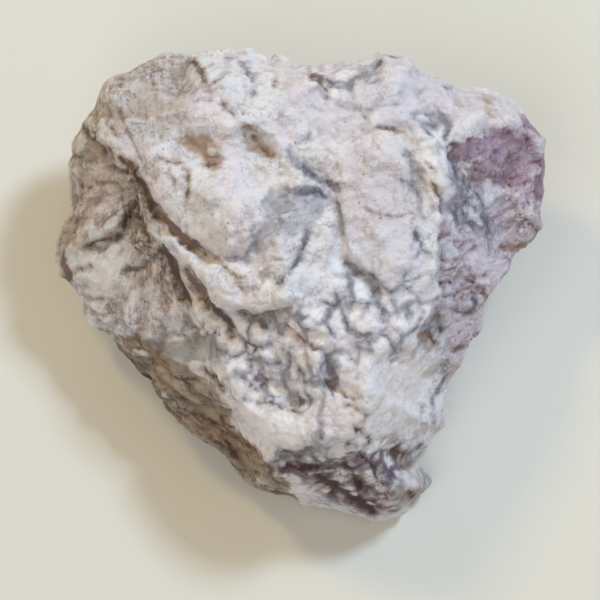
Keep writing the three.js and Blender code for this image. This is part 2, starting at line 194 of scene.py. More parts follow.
# %% [markdown]
# ## The stone's forms
# The model's skin has ten thousand triangles, which is coarse for a close look. It was
# shrunk onto a formula: a function that says, for any point in space, roughly how far it is
# outside the stone. Working the same formula out on a finer skin sharpens every ledge and
# groove, and no step has to be smoothed or sculpted. The lists below are the stone's forms
# on the face grid. First come its outline and the sloping planes that close each lump.

# %% Outline and lumps
OUTLINE = [
    (67, 137), (79, 125), (83, 115), (92, 107), (97, 95), (108, 81), (127, 72), (137, 66),
    (158, 56), (170, 52), (188, 57), (198, 52), (216, 50), (251, 51), (272, 57), (285, 59),
    (292, 66), (323, 66), (346, 64), (369, 59), (379, 54), (409, 56), (418, 68), (437, 78),
    (457, 89), (481, 87), (498, 91), (512, 98), (524, 108), (531, 120), (538, 135), (544, 140),
    (545, 167), (544, 190), (541, 205), (544, 224), (540, 234), (532, 244), (520, 249),
    (512, 257), (510, 268), (494, 290), (487, 300), (483, 313), (483, 327), (477, 338),
    (466, 350), (463, 365), (448, 384), (447, 402), (447, 425), (435, 437), (424, 451),
    (415, 461), (425, 471), (433, 481), (432, 490), (427, 497), (417, 505), (411, 507),
    (411, 515), (398, 523), (384, 527), (370, 524), (352, 519), (333, 513), (320, 513),
    (303, 507), (290, 501), (262, 495), (247, 487), (238, 478), (226, 461), (219, 453),
    (202, 441), (183, 427), (171, 416), (161, 403), (151, 389), (135, 371), (120, 356),
    (111, 343), (100, 332), (87, 323), (81, 311), (77, 298), (72, 287), (58, 276), (51, 265),
    (49, 252), (51, 238), (58, 224), (67, 211), (66, 180), (65, 155),
]

# A plane: grid place, height there in mm, climb to the right, climb to the back.
LUMPS = [
    [
        (330, 270, 9.5, 0.02, -0.05),  # broad front face
        (300, 120, 8.2, 0.02, -0.42),  # falls away to the back edge
        (190, 190, 7.6, 0.3, -0.05),  # left shoulder
        (210, 310, 6.3, 0.35, 0.18),
        (150, 238, 3.0, 3.0, 1.5),  # wall of the long crease
        (222, 410, 6.4, 1.6, 1.55),  # front left wall
        (330, 446, 7.2, 0.1, 1.15),  # bench above the front tip
        (444, 290, 8.2, -1.3, 0.05),  # right flank
        (446, 420, 4.0, -1.4, 0.9),
    ],
    [
        (150, 105, 3.4, 0.22, -0.35),  # back left flank
        (95, 190, 0.0, 0.72, -0.05),
        (150, 250, 2.4, 0.3, 0.1),
        (140, 320, 0.9, 0.3, 0.5),
        (66, 262, -3.8, 0.9, 0.3),
        (120, 350, -1.5, 1.4, 1.5),
        (150, 200, 3.8, -0.8, -0.1),  # dips under the main lump
    ],
    [
        (480, 112, 3.0, -0.28, -0.22),  # corner block, top
        (495, 125, 2.4, -0.2, 0.8),  # corner block, front face
        (520, 190, -1.0, -0.7, 0.25),
        (520, 236, -3.2, -0.3, 1.2),
        (452, 130, 3.6, 0.8, 0.1),  # meets the main lump in a valley
    ],
    [
        (462, 290, 3.2, -0.75, 0.3),  # apron under the right flank
        (500, 250, -1.2, -0.35, 0.35),
        (446, 290, 4.6, 0.9, 0.1),
        (470, 215, 3.6, -0.2, -0.7),
    ],
    [
        (420, 482, -2.5, -0.3, 0.1),  # spur beside the front tip
        (412, 482, -2.4, 1.4, 0.1),
        (420, 466, -2.4, 0.1, -1.4),
    ],
]
print(len(OUTLINE), "points in the outline,", sum(map(len, LUMPS)), "planes")

# %% [markdown]
# ## Patches and grooves
# Smaller forms lie on the lumps. A patch is a plate with a soft edge that stands up or lies
# deeper, such as a knob, a lobe or the oval tablet. A groove is the line where two forms
# meet. Both are lists of grid places, because a list is easy to correct point by point.

# %% Patches and grooves
# A patch: rise and width of its edge in mm, and its outline.
PATCHES = [
    (1.3, 0.9, [  # upper knob
        (150, 190), (163, 165), (190, 160), (215, 166), (243, 176), (262, 196),
        (264, 222), (250, 246), (228, 257), (204, 248), (182, 230), (163, 214),
    ]),
    (1.1, 0.8, [  # long lobe below it
        (165, 224), (186, 246), (206, 258), (232, 262), (262, 282), (296, 298),
        (284, 309), (262, 317), (240, 311), (218, 298), (196, 278), (176, 252),
    ]),
    (1.0, 0.8, [  # upright oval tablet
        (342, 160), (356, 142), (378, 136), (398, 142), (409, 160), (413, 190), (414, 225),
        (418, 258), (407, 284), (388, 292), (362, 276), (344, 252), (337, 215), (337, 185),
    ]),
    (0.5, 0.6, [  # strip beside the tablet
        (414, 132), (430, 128), (437, 150), (440, 190), (424, 186), (414, 165),
    ]),
    (1.0, 0.7, [  # block on the back edge
        (196, 60), (222, 52), (250, 60), (252, 80), (228, 92), (208, 90),
    ]),
    (0.4, 0.8, [  # wedge in the middle
        (300, 160), (322, 182), (334, 196), (336, 240), (318, 262),
        (292, 292), (270, 280), (262, 250), (270, 222), (296, 196),
    ]),
    (0.7, 1.0, [  # large lower right face
        (352, 355), (380, 345), (430, 352), (446, 380), (446, 420),
        (424, 446), (400, 440), (380, 410), (352, 392),
    ]),
    (0.5, 0.9, [  # lower left face
        (236, 402), (270, 396), (312, 410), (316, 436), (290, 450), (262, 446),
    ]),
    (0.8, 0.8, [  # knob above it
        (284, 352), (300, 346), (318, 352), (322, 372), (316, 392), (294, 396), (284, 378),
    ]),
    (-1.7, 0.9, [  # shelf under the left flank
        (49, 262), (70, 254), (95, 248), (120, 228), (132, 222), (150, 262),
        (176, 300), (205, 340), (150, 350), (100, 340), (60, 290),
    ]),
    (1.2, 1.6, [  # flat white facet on the shelf
        (56, 262), (84, 250), (98, 258), (100, 288), (88, 306), (70, 294),
    ]),
]

# A groove: depth and half width in mm, and its line.
GROOVES = [
    (1.2, 1.0, [(146, 196), (162, 220), (184, 240), (206, 254), (226, 264)]),
    (2.4, 1.4, [  # the long crease
        (124, 166), (136, 192), (142, 216), (154, 240), (168, 264),
        (182, 287), (198, 308), (216, 330), (232, 348),
    ]),
    (1.2, 0.8, [(356, 140), (372, 132), (392, 131), (410, 137)]),
    (1.6, 1.3, [(186, 142), (200, 150), (214, 164), (224, 176)]),
    (1.0, 0.9, [(243, 126), (258, 142), (276, 158)]),
    (1.0, 0.8, [(238, 312), (262, 320), (292, 306)]),
    (0.8, 0.8, [  # between the wedge and the tablet
        (290, 150), (304, 166), (322, 182), (336, 194), (340, 220), (338, 250), (330, 270),
    ]),
    (0.7, 0.8, [  # right side of the tablet
        (408, 142), (412, 170), (418, 200), (414, 224),
        (414, 250), (424, 262), (412, 280), (402, 296),
    ]),
    (1.0, 0.8, [(342, 262), (356, 276), (374, 292), (384, 300)]),
    (2.0, 1.2, [  # cleft over the front tip
        (268, 448), (288, 460), (312, 468), (336, 472), (360, 464), (384, 466), (404, 474),
    ]),
    (1.4, 1.1, [(300, 470), (324, 488), (350, 500), (376, 512)]),
    (0.3, 0.6, [(330, 380), (342, 388), (352, 396)]),
    (0.8, 0.8, [(316, 340), (332, 352), (334, 380), (330, 410), (326, 440)]),
    (0.8, 0.8, [
        (222, 330), (246, 344), (268, 352), (284, 366), (282, 384), (294, 398), (314, 400),
    ]),
    (0.7, 0.8, [(240, 372), (262, 378), (284, 392)]),
    (0.8, 1.0, [(444, 146), (452, 158), (458, 172)]),
    (1.4, 0.9, [(78, 256), (96, 250), (112, 240), (126, 228), (132, 216)]),
    (0.8, 0.8, [(122, 272), (140, 264), (156, 258)]),
]
print(len(PATCHES), "patches,", len(GROOVES), "grooves")

# %% [markdown]
# ## Hidden facets
# The underside of a broken lump is broken too. It is closed with plain facets that run in to
# the flat spot it rests on. A facet is one plane, so the way it faces and one distance are
# all it needs.

# %% Hidden facets
REST_MIDDLE = np.array([1, 4, 0])
# Lower facets: compass turn, lean downward, distance from the middle of the rest.
LOWER_FACETS = [
    (75, 44, 10), (112, 48, 9.5), (150, 62, 10.5), (188, 77, 10.5), (226, 79, 10),
    (266, 80, 11), (298, 81, 10), (335, 74, 9), (8, 54, 10.5), (42, 48, 11.5),
]
# Side facets: compass turn, lean downward, cut inside the rim.
SIDE_FACETS = [
    (240, 40, 1.0), (285, 36, 0.6), (325, 30, 1.2), (352, 24, 1.0), (28, 30, 1.6),
    (66, 20, 1.2), (100, 26, 1.0), (134, 30, 1.6), (168, 24, 1.2), (202, 30, 1.0),
]
print(len(LOWER_FACETS) + len(SIDE_FACETS), "hidden facets")

# %% [markdown]
# ## Small tools for the formula
# numpy works on all points at once, so each helper takes whole arrays. Two soft versions of
# minimum and maximum round the edges where planes meet. A broken edge is never quite sharp,
# and a plain minimum would leave a crease with no width at all.

# %% Soft edges
def clamp(value):
    return np.clip(value, 0, 1)


def ease(value):
    return value * value * (3 - 2 * value)


def soft_inside(depth, edge):
    """1 inside an outline and 0 outside it, over an edge of some width."""
    return ease(clamp(0.5 - depth / (2 * edge)))


def soft_min(a, b, round_by):
    share = clamp(0.5 + 0.5 * (b - a) / round_by)
    return b * (1 - share) + a * share - round_by * share * (1 - share)


def soft_max(a, b, round_by):
    return -soft_min(-a, -b, round_by)


print("soft minimum of 1 and 1:", soft_min(1.0, 1.0, 0.5))

# %% [markdown]
# ## Chains
# A chain is a line of straight pieces, and the distance to it gives grooves, outlines and,
# later, the veins. A curve would be smoother, but its distance is slow to work out, and the
# texture of the stone hides the corners. A box round each chain saves time, because far
# points need no distance.

# %% Chains
class Chain:
    """Straight pieces from point to point on the face."""

    def __init__(self, points, closed=False):
        self.start = on_face(points)
        self.way = np.roll(self.start, -1, 0) - self.start
        if not closed:
            self.start, self.way = self.start[:-1], self.way[:-1]
        self.length = np.hypot(self.way[:, 0], self.way[:, 1])
        self.before = np.cumsum(self.length) - self.length
        ends = np.vstack([self.start, self.start + self.way])
        self.low, self.high = ends.min(0), ends.max(0)

    def near(self, u, v, margin):
        return ((u > self.low[0] - margin) & (u < self.high[0] + margin)
                & (v > self.low[1] - margin) & (v < self.high[1] + margin))

    def nearest(self, u, v):
        """Distance to the chain, and the share of its length before the nearest place."""
        best = np.full(u.shape, np.inf)
        along = np.zeros(u.shape)
        pieces = zip(self.start, self.way, self.length, self.before)
        for (x, y), (dx, dy), length, before in pieces:
            share = clamp(((u - x) * dx + (v - y) * dy) / length ** 2)
            distance = np.hypot(u - x - share * dx, v - y - share * dy)
            closer = distance < best
            best = np.where(closer, distance, best)
            along = np.where(closer, before + share * length, along)
        return best, along / self.length.sum()

    def inside(self, u, v):
        """Distance to a closed chain, less than nothing inside it."""
        within = np.zeros(u.shape, bool)
        for (x, y), (dx, dy) in zip(self.start, self.way):
            if dy != 0:
                within ^= ((y > v) != (y + dy > v)) & (u < dx * (v - y) / dy + x)
        distance = self.nearest(u, v)[0]
        return np.where(within, -distance, distance)


rim = Chain(OUTLINE, closed=True)
print("outline, mm round:", round(rim.length.sum(), 1))

# %% [markdown]
# ## Broken-stone texture
# A broken mineral is made of many shallow shell-shaped chips. Each chip here is a tilted
# bowl round a scattered centre, and the lowest bowl at a point wins, which leaves crisp
# ridges between neighbours. The scatter is a fixed sine of large numbers, so it never
# changes.

# %% Scatter, unevenness and chips
SCATTER_STEPS = (127.1, 311.7, 74.7, 53.3)
SCATTER_SCALE = 43758.5453
BOWL_CURVE = 0.55
CHIP_LEVEL = 0.1  # a chip's middle height, taken off so that the stone keeps its size
# Smooth bumps and chips: height, size in mm and seed.
BUMPS = [(0.2, 4, 21), (0.1, 1.9, 22)]
CHIPS = [(0.34, 6.5, 3), (0.14, 3.4, 7)]


def scatter(i, j, k, seed):
    """The same whole numbers always give the same share from 0 to 1."""
    a, b, c, d = SCATTER_STEPS
    value = np.sin(i * a + j * b + k * c + seed * d) * SCATTER_SCALE
    return value - np.floor(value)


def unevenness(points, seed):
    """Smooth bumps from -1 to 1, one unit apart."""
    cell = np.floor(points)
    share = ease(points - cell)
    total = 0
    for corner in range(8):
        step = np.array([corner & 1, (corner >> 1) & 1, corner >> 2])
        weight = np.prod(np.where(step, share, 1 - share), axis=1)
        total = total + weight * scatter(*(cell + step).T, seed)
    return total * 2 - 1


def chips(points, seed):
    """The lowest of many tilted bowls."""
    cell = np.floor(points)
    lowest = np.full(len(points), np.inf)
    for n in range(27):
        place = (cell + (n % 3 - 1, n // 3 % 3 - 1, n // 9 - 1)).T
        bowl = 0
        for axis in range(3):
            off = points[:, axis] - place[axis] - scatter(*place, seed + 1 + axis)
            tilt = scatter(*place, seed + 4 + axis) - 0.5
            bowl = bowl + BOWL_CURVE * off * off + off * tilt
        lowest = np.minimum(lowest, bowl)
    return lowest


def roughness_of(points):
    """How far the bumps and chips move the surface, in mm."""
    total = 0
    for height, size, seed in BUMPS:
        total = total + height * unevenness(points / size, seed)
    for height, size, seed in CHIPS:
        total = total - height * (size * (chips(points / size, seed) - CHIP_LEVEL))
    return total


print("chips at the middle:", roughness_of(np.array([[0, 0, 20.0]])).round(3))

# %% [markdown]
# ## The rim and the facets under it
# The widest line of the stone is its rim. It isn't level: it climbs to the back and drops at
# both sides. Below it the stone runs in, and the hidden facets cut off what would stick out.
# A facet is kept as the direction it faces and how far it reaches that way.

# %% Rim and facets
RIM_LEVEL = -3.5  # height of the widest line, out of the face
RIM_RISE_BACK = 0.13
RIM_DROP_LEFT = 0.0085
RIM_DROP_RIGHT = 0.003


def rim_level(u, v):
    drop = np.where(u < 0, RIM_DROP_LEFT, RIM_DROP_RIGHT)
    return RIM_LEVEL + RIM_RISE_BACK * v - drop * u * u


def facing(turn, lean):
    """The direction that a facet faces, from its compass turn and its lean downward."""
    turn, lean = math.radians(turn), math.radians(lean)
    level = math.cos(lean)
    return np.array([math.cos(turn) * level, math.sin(turn) * level, -math.sin(lean)])


def hidden_facets():
    """Each hidden facet as its direction and its reach."""
    planes = []
    for turn, lean, foot in LOWER_FACETS:
        out = facing(turn, lean)
        planes.append((out, out @ REST_MIDDLE + foot * math.cos(math.radians(lean))))
    u, v = rim.start.T
    w = rim_level(u, v)
    line = np.stack([u, v * LEAN_COS - w * LEAN_SIN,
                     MIDDLE_HEIGHT + v * LEAN_SIN + w * LEAN_COS], 1)
    for turn, lean, cut in SIDE_FACETS:
        out = facing(turn, lean)
        planes.append((out, (line @ out).max() - cut))
    return planes


facets = hidden_facets()
print("facets reach, mm:", [round(float(reach), 1) for _, reach in facets])

# %% [markdown]
# ## Height of the face
# A lump is the lowest of its planes, and the face is the highest of its lumps, so each lump
# is closed on all sides and stands against its neighbours. Patches and grooves are added on
# top. In a real stone crumbs fill a groove here and there, so its depth follows a slow noise.

# %% Height of the face
ROUND_PLANES = 0.5  # mm of rounding between the planes of a lump
ROUND_LUMPS = 0.6
PATCH_STEP = 0.75  # share of a patch's rise that comes at its edge
PATCH_SWELL = 3  # mm over which the rest comes
GROOVE_BREAK = 2.4  # mm between the places where crumbs fill the grooves
GROOVE_CLEAR = (0.62, 0.7, 0.35)  # middle share, and what a slow and a quick noise add
GROOVE_WIDTH = (0.55, 0.45)  # share of the width that stays, and that comes where it's clear
GROOVE_DEPTH = (0.2, 0.55)
GROOVE_ENDS = (0.25, 5)  # share of the depth at an end, and how fast it deepens

lumps = [[(*on_face([plane[:2]])[0], *plane[2:]) for plane in planes] for planes in LUMPS]
patches = [(rise, edge, Chain(line, closed=True)) for rise, edge, line in PATCHES]
grooves = [(depth, half, Chain(line)) for depth, half, line in GROOVES]


def lump_height(u, v):
    top = None
    for planes in lumps:
        low = None
        for x, y, height, right, back in planes:
            here = height + right * (u - x) + back * (v - y)
            low = here if low is None else soft_min(low, here, ROUND_PLANES)
        top = low if top is None else soft_max(top, low, ROUND_LUMPS)
    return top


def clear_share(u, v):
    """Where the grooves are clear of crumbs."""
    flat = np.stack([u, v, np.zeros(u.shape)], 1) / GROOVE_BREAK
    middle, slow, quick = GROOVE_CLEAR
    return clamp(middle + slow * unevenness(flat, seed=61)
                 + quick * unevenness(2.3 * flat, seed=62))


def relief_height(u, v):
    height = np.zeros(u.shape)
    for rise, edge, chain in patches:
        near = chain.near(u, v, edge)
        depth = chain.inside(u[near], v[near])
        swell = (1 - PATCH_STEP) * clamp(-depth / PATCH_SWELL)
        height[near] += rise * (PATCH_STEP * soft_inside(depth, edge) + swell)
    clear = clear_share(u, v)
    for depth, half, chain in grooves:
        near = chain.near(u, v, 2 * half)
        distance, along = chain.nearest(u[near], v[near])
        ends = clamp(GROOVE_ENDS[1] * np.minimum(along, 1 - along) + GROOVE_ENDS[0])
        wide = 2 * half * (GROOVE_WIDTH[0] + GROOVE_WIDTH[1] * clear[near])
        deep = depth * (GROOVE_DEPTH[0] + GROOVE_DEPTH[1] * clear[near])
        height[near] -= deep * ends * ease(clamp(1 - distance / wide))
    return height


middle = lump_height(np.zeros(1), np.zeros(1)) + relief_height(np.zeros(1), np.zeros(1))
print("height at the middle of the face, mm:", middle.round(2))

# %% [markdown]
# ## The whole formula
# It follows the stone from the face outward: the height of the face, the bevels above and
# below the rim, the facets underneath, and the chips over all of it. The result is less than
# nothing inside the stone and more outside it. Each form is joined to the next by the soft
# maximum, so a point is inside the stone only where it is inside all of them. A warp shifts
# all lines a little, so that none of them is as straight as it was drawn.

# %% The formula
UPPER_BEVEL = (1.5, 3.0, 0.9)  # slope, rounding, and how far in the rounding reaches
LOWER_BEVEL = (0.85, 2.6, 0.9)
RIM_WANDER = 2.0  # mm that the rim's height wanders up and down
RIM_WANDER_SIZE = 13  # mm
RIM_SPARE = 0.15  # mm that the rim lies outside its outline
RIM_CALM = 3  # mm round the rim where chips are weaker
RIM_CHIPS = 0.2
FACET_SPARE = 2.5  # keeps the hidden facets off the rim
FACET_FADE = 3  # mm under the rim over which that runs out
FACE_SLOPE = 0.75  # a height is more than the distance to a sloping face
WARP_SIZES = (7, 3)  # mm
WARP = 0.45  # wander of the face's lines
WALL_WARP = 1.1  # swelling of the walls
WALL_DEPTH = 4  # mm from the rim to the full swelling
ROUND_RIM = 0.5
ROUND_FACETS = 0.6


def warp(points, seed):
    slow, quick = WARP_SIZES
    return unevenness(points / slow, seed) + 0.5 * unevenness(points / quick, seed + 1)


def stone(points):
    """Roughly how far each point is outside the stone, in mm."""
    u, v, w = to_face(points)
    warp_u, warp_v = warp(points, seed=11), warp(points, seed=13)
    height = (lump_height(u + WARP * warp_u, v + WARP * warp_v)
              + relief_height(u + WARP * warp_u / 2, v + WARP * warp_v / 2))
    flat = np.stack([points[:, 0] / RIM_WANDER_SIZE, points[:, 1] / RIM_WANDER_SIZE,
                     np.full(len(points), 0.5)], 1)
    from_rim = w - rim_level(u, v) - RIM_WANDER * unevenness(flat, seed=31)
    above = from_rim > 0
    slope, rounding, reach = (np.where(above, a, b) for a, b in zip(UPPER_BEVEL, LOWER_BEVEL))
    lean = WALL_WARP * clamp(np.abs(from_rim) / WALL_DEPTH)
    inside = RIM_SPARE - rim.inside(u + lean * warp_u, v + lean * warp_v)
    fade = np.exp(-np.maximum(inside, 0) / reach)
    room = np.where(inside < 0, inside * (slope + rounding / reach),
                    slope * inside + rounding * (1 - fade))
    steep = slope + rounding / reach * fade
    walls = (np.abs(from_rim) - room) / np.hypot(1, steep)
    solid = soft_max(FACE_SLOPE * (w - height), walls, ROUND_RIM)
    spared = FACET_SPARE * clamp(1 + from_rim / FACET_FADE)
    for out, distance in facets:
        solid = soft_max(solid, points @ out - distance - spared, ROUND_FACETS)
    off_rim = clamp(np.hypot(inside, from_rim) / RIM_CALM)
    solid = solid + roughness_of(points) * (RIM_CHIPS + (1 - RIM_CHIPS) * off_rim)
    return np.maximum(solid, -points[:, 2])


print("outside by, mm:", stone(np.array([[0, 0, 10.0], [0, 0, 40.0]])).round(1))

# %% [markdown]
# ## A finer skin
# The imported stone's triangles are merged into one skin, and every triangle is split in four,
# twice. After each split the corners are evened out, as if the skin were a stretched net,
# and moved in or out until the formula says zero. That needs the middle of a corner's
# neighbours and the way it faces. Both are sums over the triangles, which numpy's bincount
# adds up for all corners at once.

# %% Sums over the skin
CORES = 4


def on_all_cores(rule, points):
    """Works a formula out on slices of the points at the same time."""
    with ThreadPoolExecutor(CORES) as pool:
        return np.concatenate(list(pool.map(rule, np.array_split(points, 4 * CORES))))


def gather(corners, values, count):
    """Adds up the values that belong to each corner."""
    return np.stack([np.bincount(corners, part, count) for part in values.T], 1)


def neighbours_middle(points, faces):
    start, end = faces.ravel(), faces[:, [1, 2, 0]].ravel()
    total = gather(start, points[end], len(points))
    return total / np.bincount(start, minlength=len(points))[:, None]


def directions(points, faces):
    """The way each corner faces."""
    a, b, c = (points[corner] for corner in faces.T)
    across = np.repeat(np.cross(b - a, c - a), 3, axis=0)
    total = gather(faces.ravel(), across, len(points))
    return total / np.linalg.norm(total, axis=1)[:, None]


print("skin tools ready, on", CORES, "cores")

# %% [markdown]
# ## Splitting and settling
# A Subdivision Surface would split the triangles too, but it also rounds the form. Here new
# corners lie in the middle of the edges, and only the formula moves them. Two tries are
# enough: the first shows how fast the formula changes there, and the second uses that.

# %% Split and settle
SPEED_LIMITS = (0.4, 3)  # how fast the formula may be taken to change


def split_in_four(points, faces):
    """A new corner in the middle of every edge."""
    edges = np.sort(faces[:, [0, 1, 1, 2, 2, 0]].reshape(-1, 2), axis=1)
    edges, place = np.unique(edges, axis=0, return_inverse=True)
    ab, bc, ca = (place.reshape(-1, 3) + len(points)).T
    a, b, c = faces.T
    quarters = [(a, ab, ca), (b, bc, ab), (c, ca, bc), (ab, bc, ca)]
    return (np.vstack([points, points[edges].mean(1)]),
            np.concatenate([np.stack(quarter, 1) for quarter in quarters]))


def settle(points, faces, most):
    """Moves each corner along its own direction until the formula says zero."""
    out = directions(points, faces)
    first = on_all_cores(stone, points)
    step = np.clip(-first, -most, most)
    second = on_all_cores(stone, points + out * step[:, None])
    with np.errstate(divide="ignore", invalid="ignore"):
        speed = np.nan_to_num((second - first) / step, nan=1.0)
    step = np.clip(step - second / np.clip(speed, *SPEED_LIMITS), -most, most)
    return points + out * step[:, None]


print("split and settle ready")

# %% [markdown]
# ## Growing the skin
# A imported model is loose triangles, so a copy of it is merged first, and the model itself
# stays as it is. Corners that end up a hair above the floor are set on it, which keeps the
# flat spot flat.

# %% The fine skin
SPLITS = 2
MERGE_WITHIN = 0.001  # mm
EVEN_OUT = (0.45, 0.3)  # share of the way to the middle of the neighbours, in turn
FARTHEST_MOVE = 0.4  # mm in one try
ON_FLOOR = 0.02  # mm

packed = bmesh.new()
packed.from_mesh(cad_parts["howlite"].data)
bmesh.ops.remove_doubles(packed, verts=packed.verts, dist=MERGE_WITHIN * MM)
skin = np.array([corner.co for corner in packed.verts]) / MM + CENTRED_BY
faces = np.array([[corner.index for corner in face.verts] for face in packed.faces])
packed.free()
print("merged:", len(skin), "corners,", len(faces), "triangles")

for split in range(SPLITS):
    skin, faces = split_in_four(skin, faces)
    for share in EVEN_OUT:
        skin = skin + share * (neighbours_middle(skin, faces) - skin)
        skin = settle(skin, faces, FARTHEST_MOVE)
skin[skin[:, 2] < ON_FLOOR, 2] = 0
print("fine skin:", len(faces), "triangles")

# %% [markdown]
# ## Grey veins
# The grey veins are the stone's signature. They are drawn as lines on the face grid, each
# with a half width in mm. An image could hold them too, but lines stay sharp at any size,
# can be sunk into the surface, and follow the stone however it is turned.

# %% Grey veins
GREY_VEINS = [
    # block and back edge
    (0.28, [(226, 56), (238, 60), (246, 67), (250, 75)]),
    (0.22, [(244, 96), (254, 98), (257, 88), (254, 78)]),
    (0.25, [(222, 108), (231, 114), (239, 121)]),
    (0.38, [(328, 82), (338, 90), (349, 89), (352, 81), (360, 76), (369, 75)]),
    (0.32, [(370, 77), (376, 66), (384, 58), (395, 56)]),
    (0.22, [(364, 77), (368, 85), (379, 84)]),
    (0.16, [(326, 100), (337, 104), (342, 111), (352, 110), (360, 114)]),
    (0.22, [(360, 111), (364, 122)]),
    (0.12, [(360, 114), (372, 111), (382, 108), (394, 106)]),
    (0.14, [(371, 112), (375, 104), (379, 100)]),
    (0.10, [(334, 128), (346, 122), (360, 117)]),
    (0.22, [(299, 145), (307, 143), (311, 138)]),
    # between the wedge and the tablet
    (0.50, [
        (288, 153), (294, 161), (302, 169), (311, 177), (322, 181), (330, 187), (338, 193),
    ]),
    (0.55, [(297, 197), (308, 193), (320, 193), (328, 197)]),
    (0.28, [(337, 193), (338, 206), (339, 222), (340, 238)]),
    (0.34, [(308, 232), (306, 244), (301, 256), (294, 267), (286, 277), (277, 284)]),
    (0.16, [(252, 232), (256, 246), (246, 258), (230, 256)]),
    # under the tablet
    (0.46, [(345, 262), (350, 270), (360, 272), (368, 278), (374, 286), (376, 297)]),
    (0.32, [(350, 270), (347, 280), (344, 292), (347, 303), (350, 311)]),
    (0.42, [(343, 296), (336, 304), (328, 310), (324, 322)]),
    (0.36, [(345, 322), (352, 331), (362, 334), (373, 331)]),
    (0.28, [(364, 353), (368, 342), (375, 334), (384, 333), (391, 342), (394, 351)]),
    (0.34, [(376, 296), (380, 306), (382, 319)]),
    (0.46, [(386, 300), (393, 307), (397, 313)]),
    (0.38, [(403, 306), (407, 316)]),
    (0.34, [(404, 272), (401, 284), (407, 292), (416, 296)]),
    (0.20, [(416, 296), (420, 302), (430, 303), (438, 300)]),
    # right edge of the tablet
    (0.30, [(400, 156), (407, 158), (411, 168), (413, 177)]),
    (0.26, [(396, 181), (406, 184), (413, 188), (418, 197), (418, 211)]),
    (0.28, [(413, 230), (416, 242), (420, 251), (427, 256)]),
    (0.14, [(418, 251), (416, 258), (408, 263), (405, 272)]),
    # knobs in the middle
    (0.32, [(243, 312), (252, 318), (264, 319), (276, 314), (288, 308)]),
    (0.38, [(262, 322), (267, 330), (268, 341)]),
    (0.36, [(277, 332), (283, 334), (286, 326)]),
    (0.28, [(284, 312), (296, 316), (308, 318), (319, 320)]),
    (0.44, [
        (289, 352), (287, 362), (281, 372), (284, 384), (289, 393), (298, 399), (312, 399),
    ]),
    (0.34, [(262, 360), (272, 364), (282, 362)]),
    (0.28, [(261, 362), (262, 372), (256, 379), (268, 381), (281, 380)]),
    (0.36, [(234, 371), (244, 378)]),
    (0.50, [(262, 383), (266, 392), (263, 399)]),
    (0.30, [(246, 398), (258, 402), (272, 403), (282, 404)]),
    (0.80, [(329, 354), (332, 366), (331, 380)]),
    (0.62, [(326, 353), (338, 349), (348, 350)]),
    (0.28, [(347, 350), (350, 358), (358, 360)]),
    (0.22, [(322, 392), (321, 406), (319, 420), (320, 438)]),
    (0.16, [(303, 373), (306, 383), (323, 385)]),
    (0.46, [(268, 464), (280, 458), (296, 450), (310, 446), (323, 450)]),
    (0.16, [(412, 355), (418, 350), (423, 343)]),
    (0.34, [(392, 450), (400, 458), (410, 456), (421, 447)]),
    # right flank and corner block
    (0.46, [(436, 308), (438, 320), (442, 333)]),
    (0.44, [(471, 292), (473, 302), (472, 310), (463, 315)]),
    (0.20, [(441, 304), (450, 308), (461, 314)]),
    (0.15, [(441, 297), (450, 295), (458, 293)]),
    (0.44, [(438, 110), (444, 120), (446, 132), (444, 142), (446, 152)]),
    (0.30, [(413, 118), (422, 115), (433, 115)]),
    (0.28, [(417, 97), (424, 90)]),
    (0.28, [(445, 87), (452, 85)]),
    (0.60, [(448, 152), (452, 166), (456, 178), (464, 189)]),
    (0.55, [(461, 200), (470, 206), (479, 209)]),
    (0.32, [(445, 204), (452, 213), (458, 223)]),
    (0.36, [(484, 213), (488, 226), (490, 240), (486, 251)]),
    (0.22, [(434, 397), (432, 412), (434, 425)]),
    (0.16, [(437, 226), (439, 246), (440, 268), (441, 292)]),
    (0.34, [(447, 372), (444, 384), (438, 396)]),
    (0.30, [(424, 468), (429, 478), (432, 486)]),
]
print(len(GREY_VEINS), "grey veins")

# %% [markdown]
# ## Brown cracks
# Iron has stained the cracks of the stone brown. A crack is a thin shadow with a stain along
# both sides, which a line with a half width can give, so the same tools as for the veins
# serve it. Short ones stand for the flecks of the rough flanks.

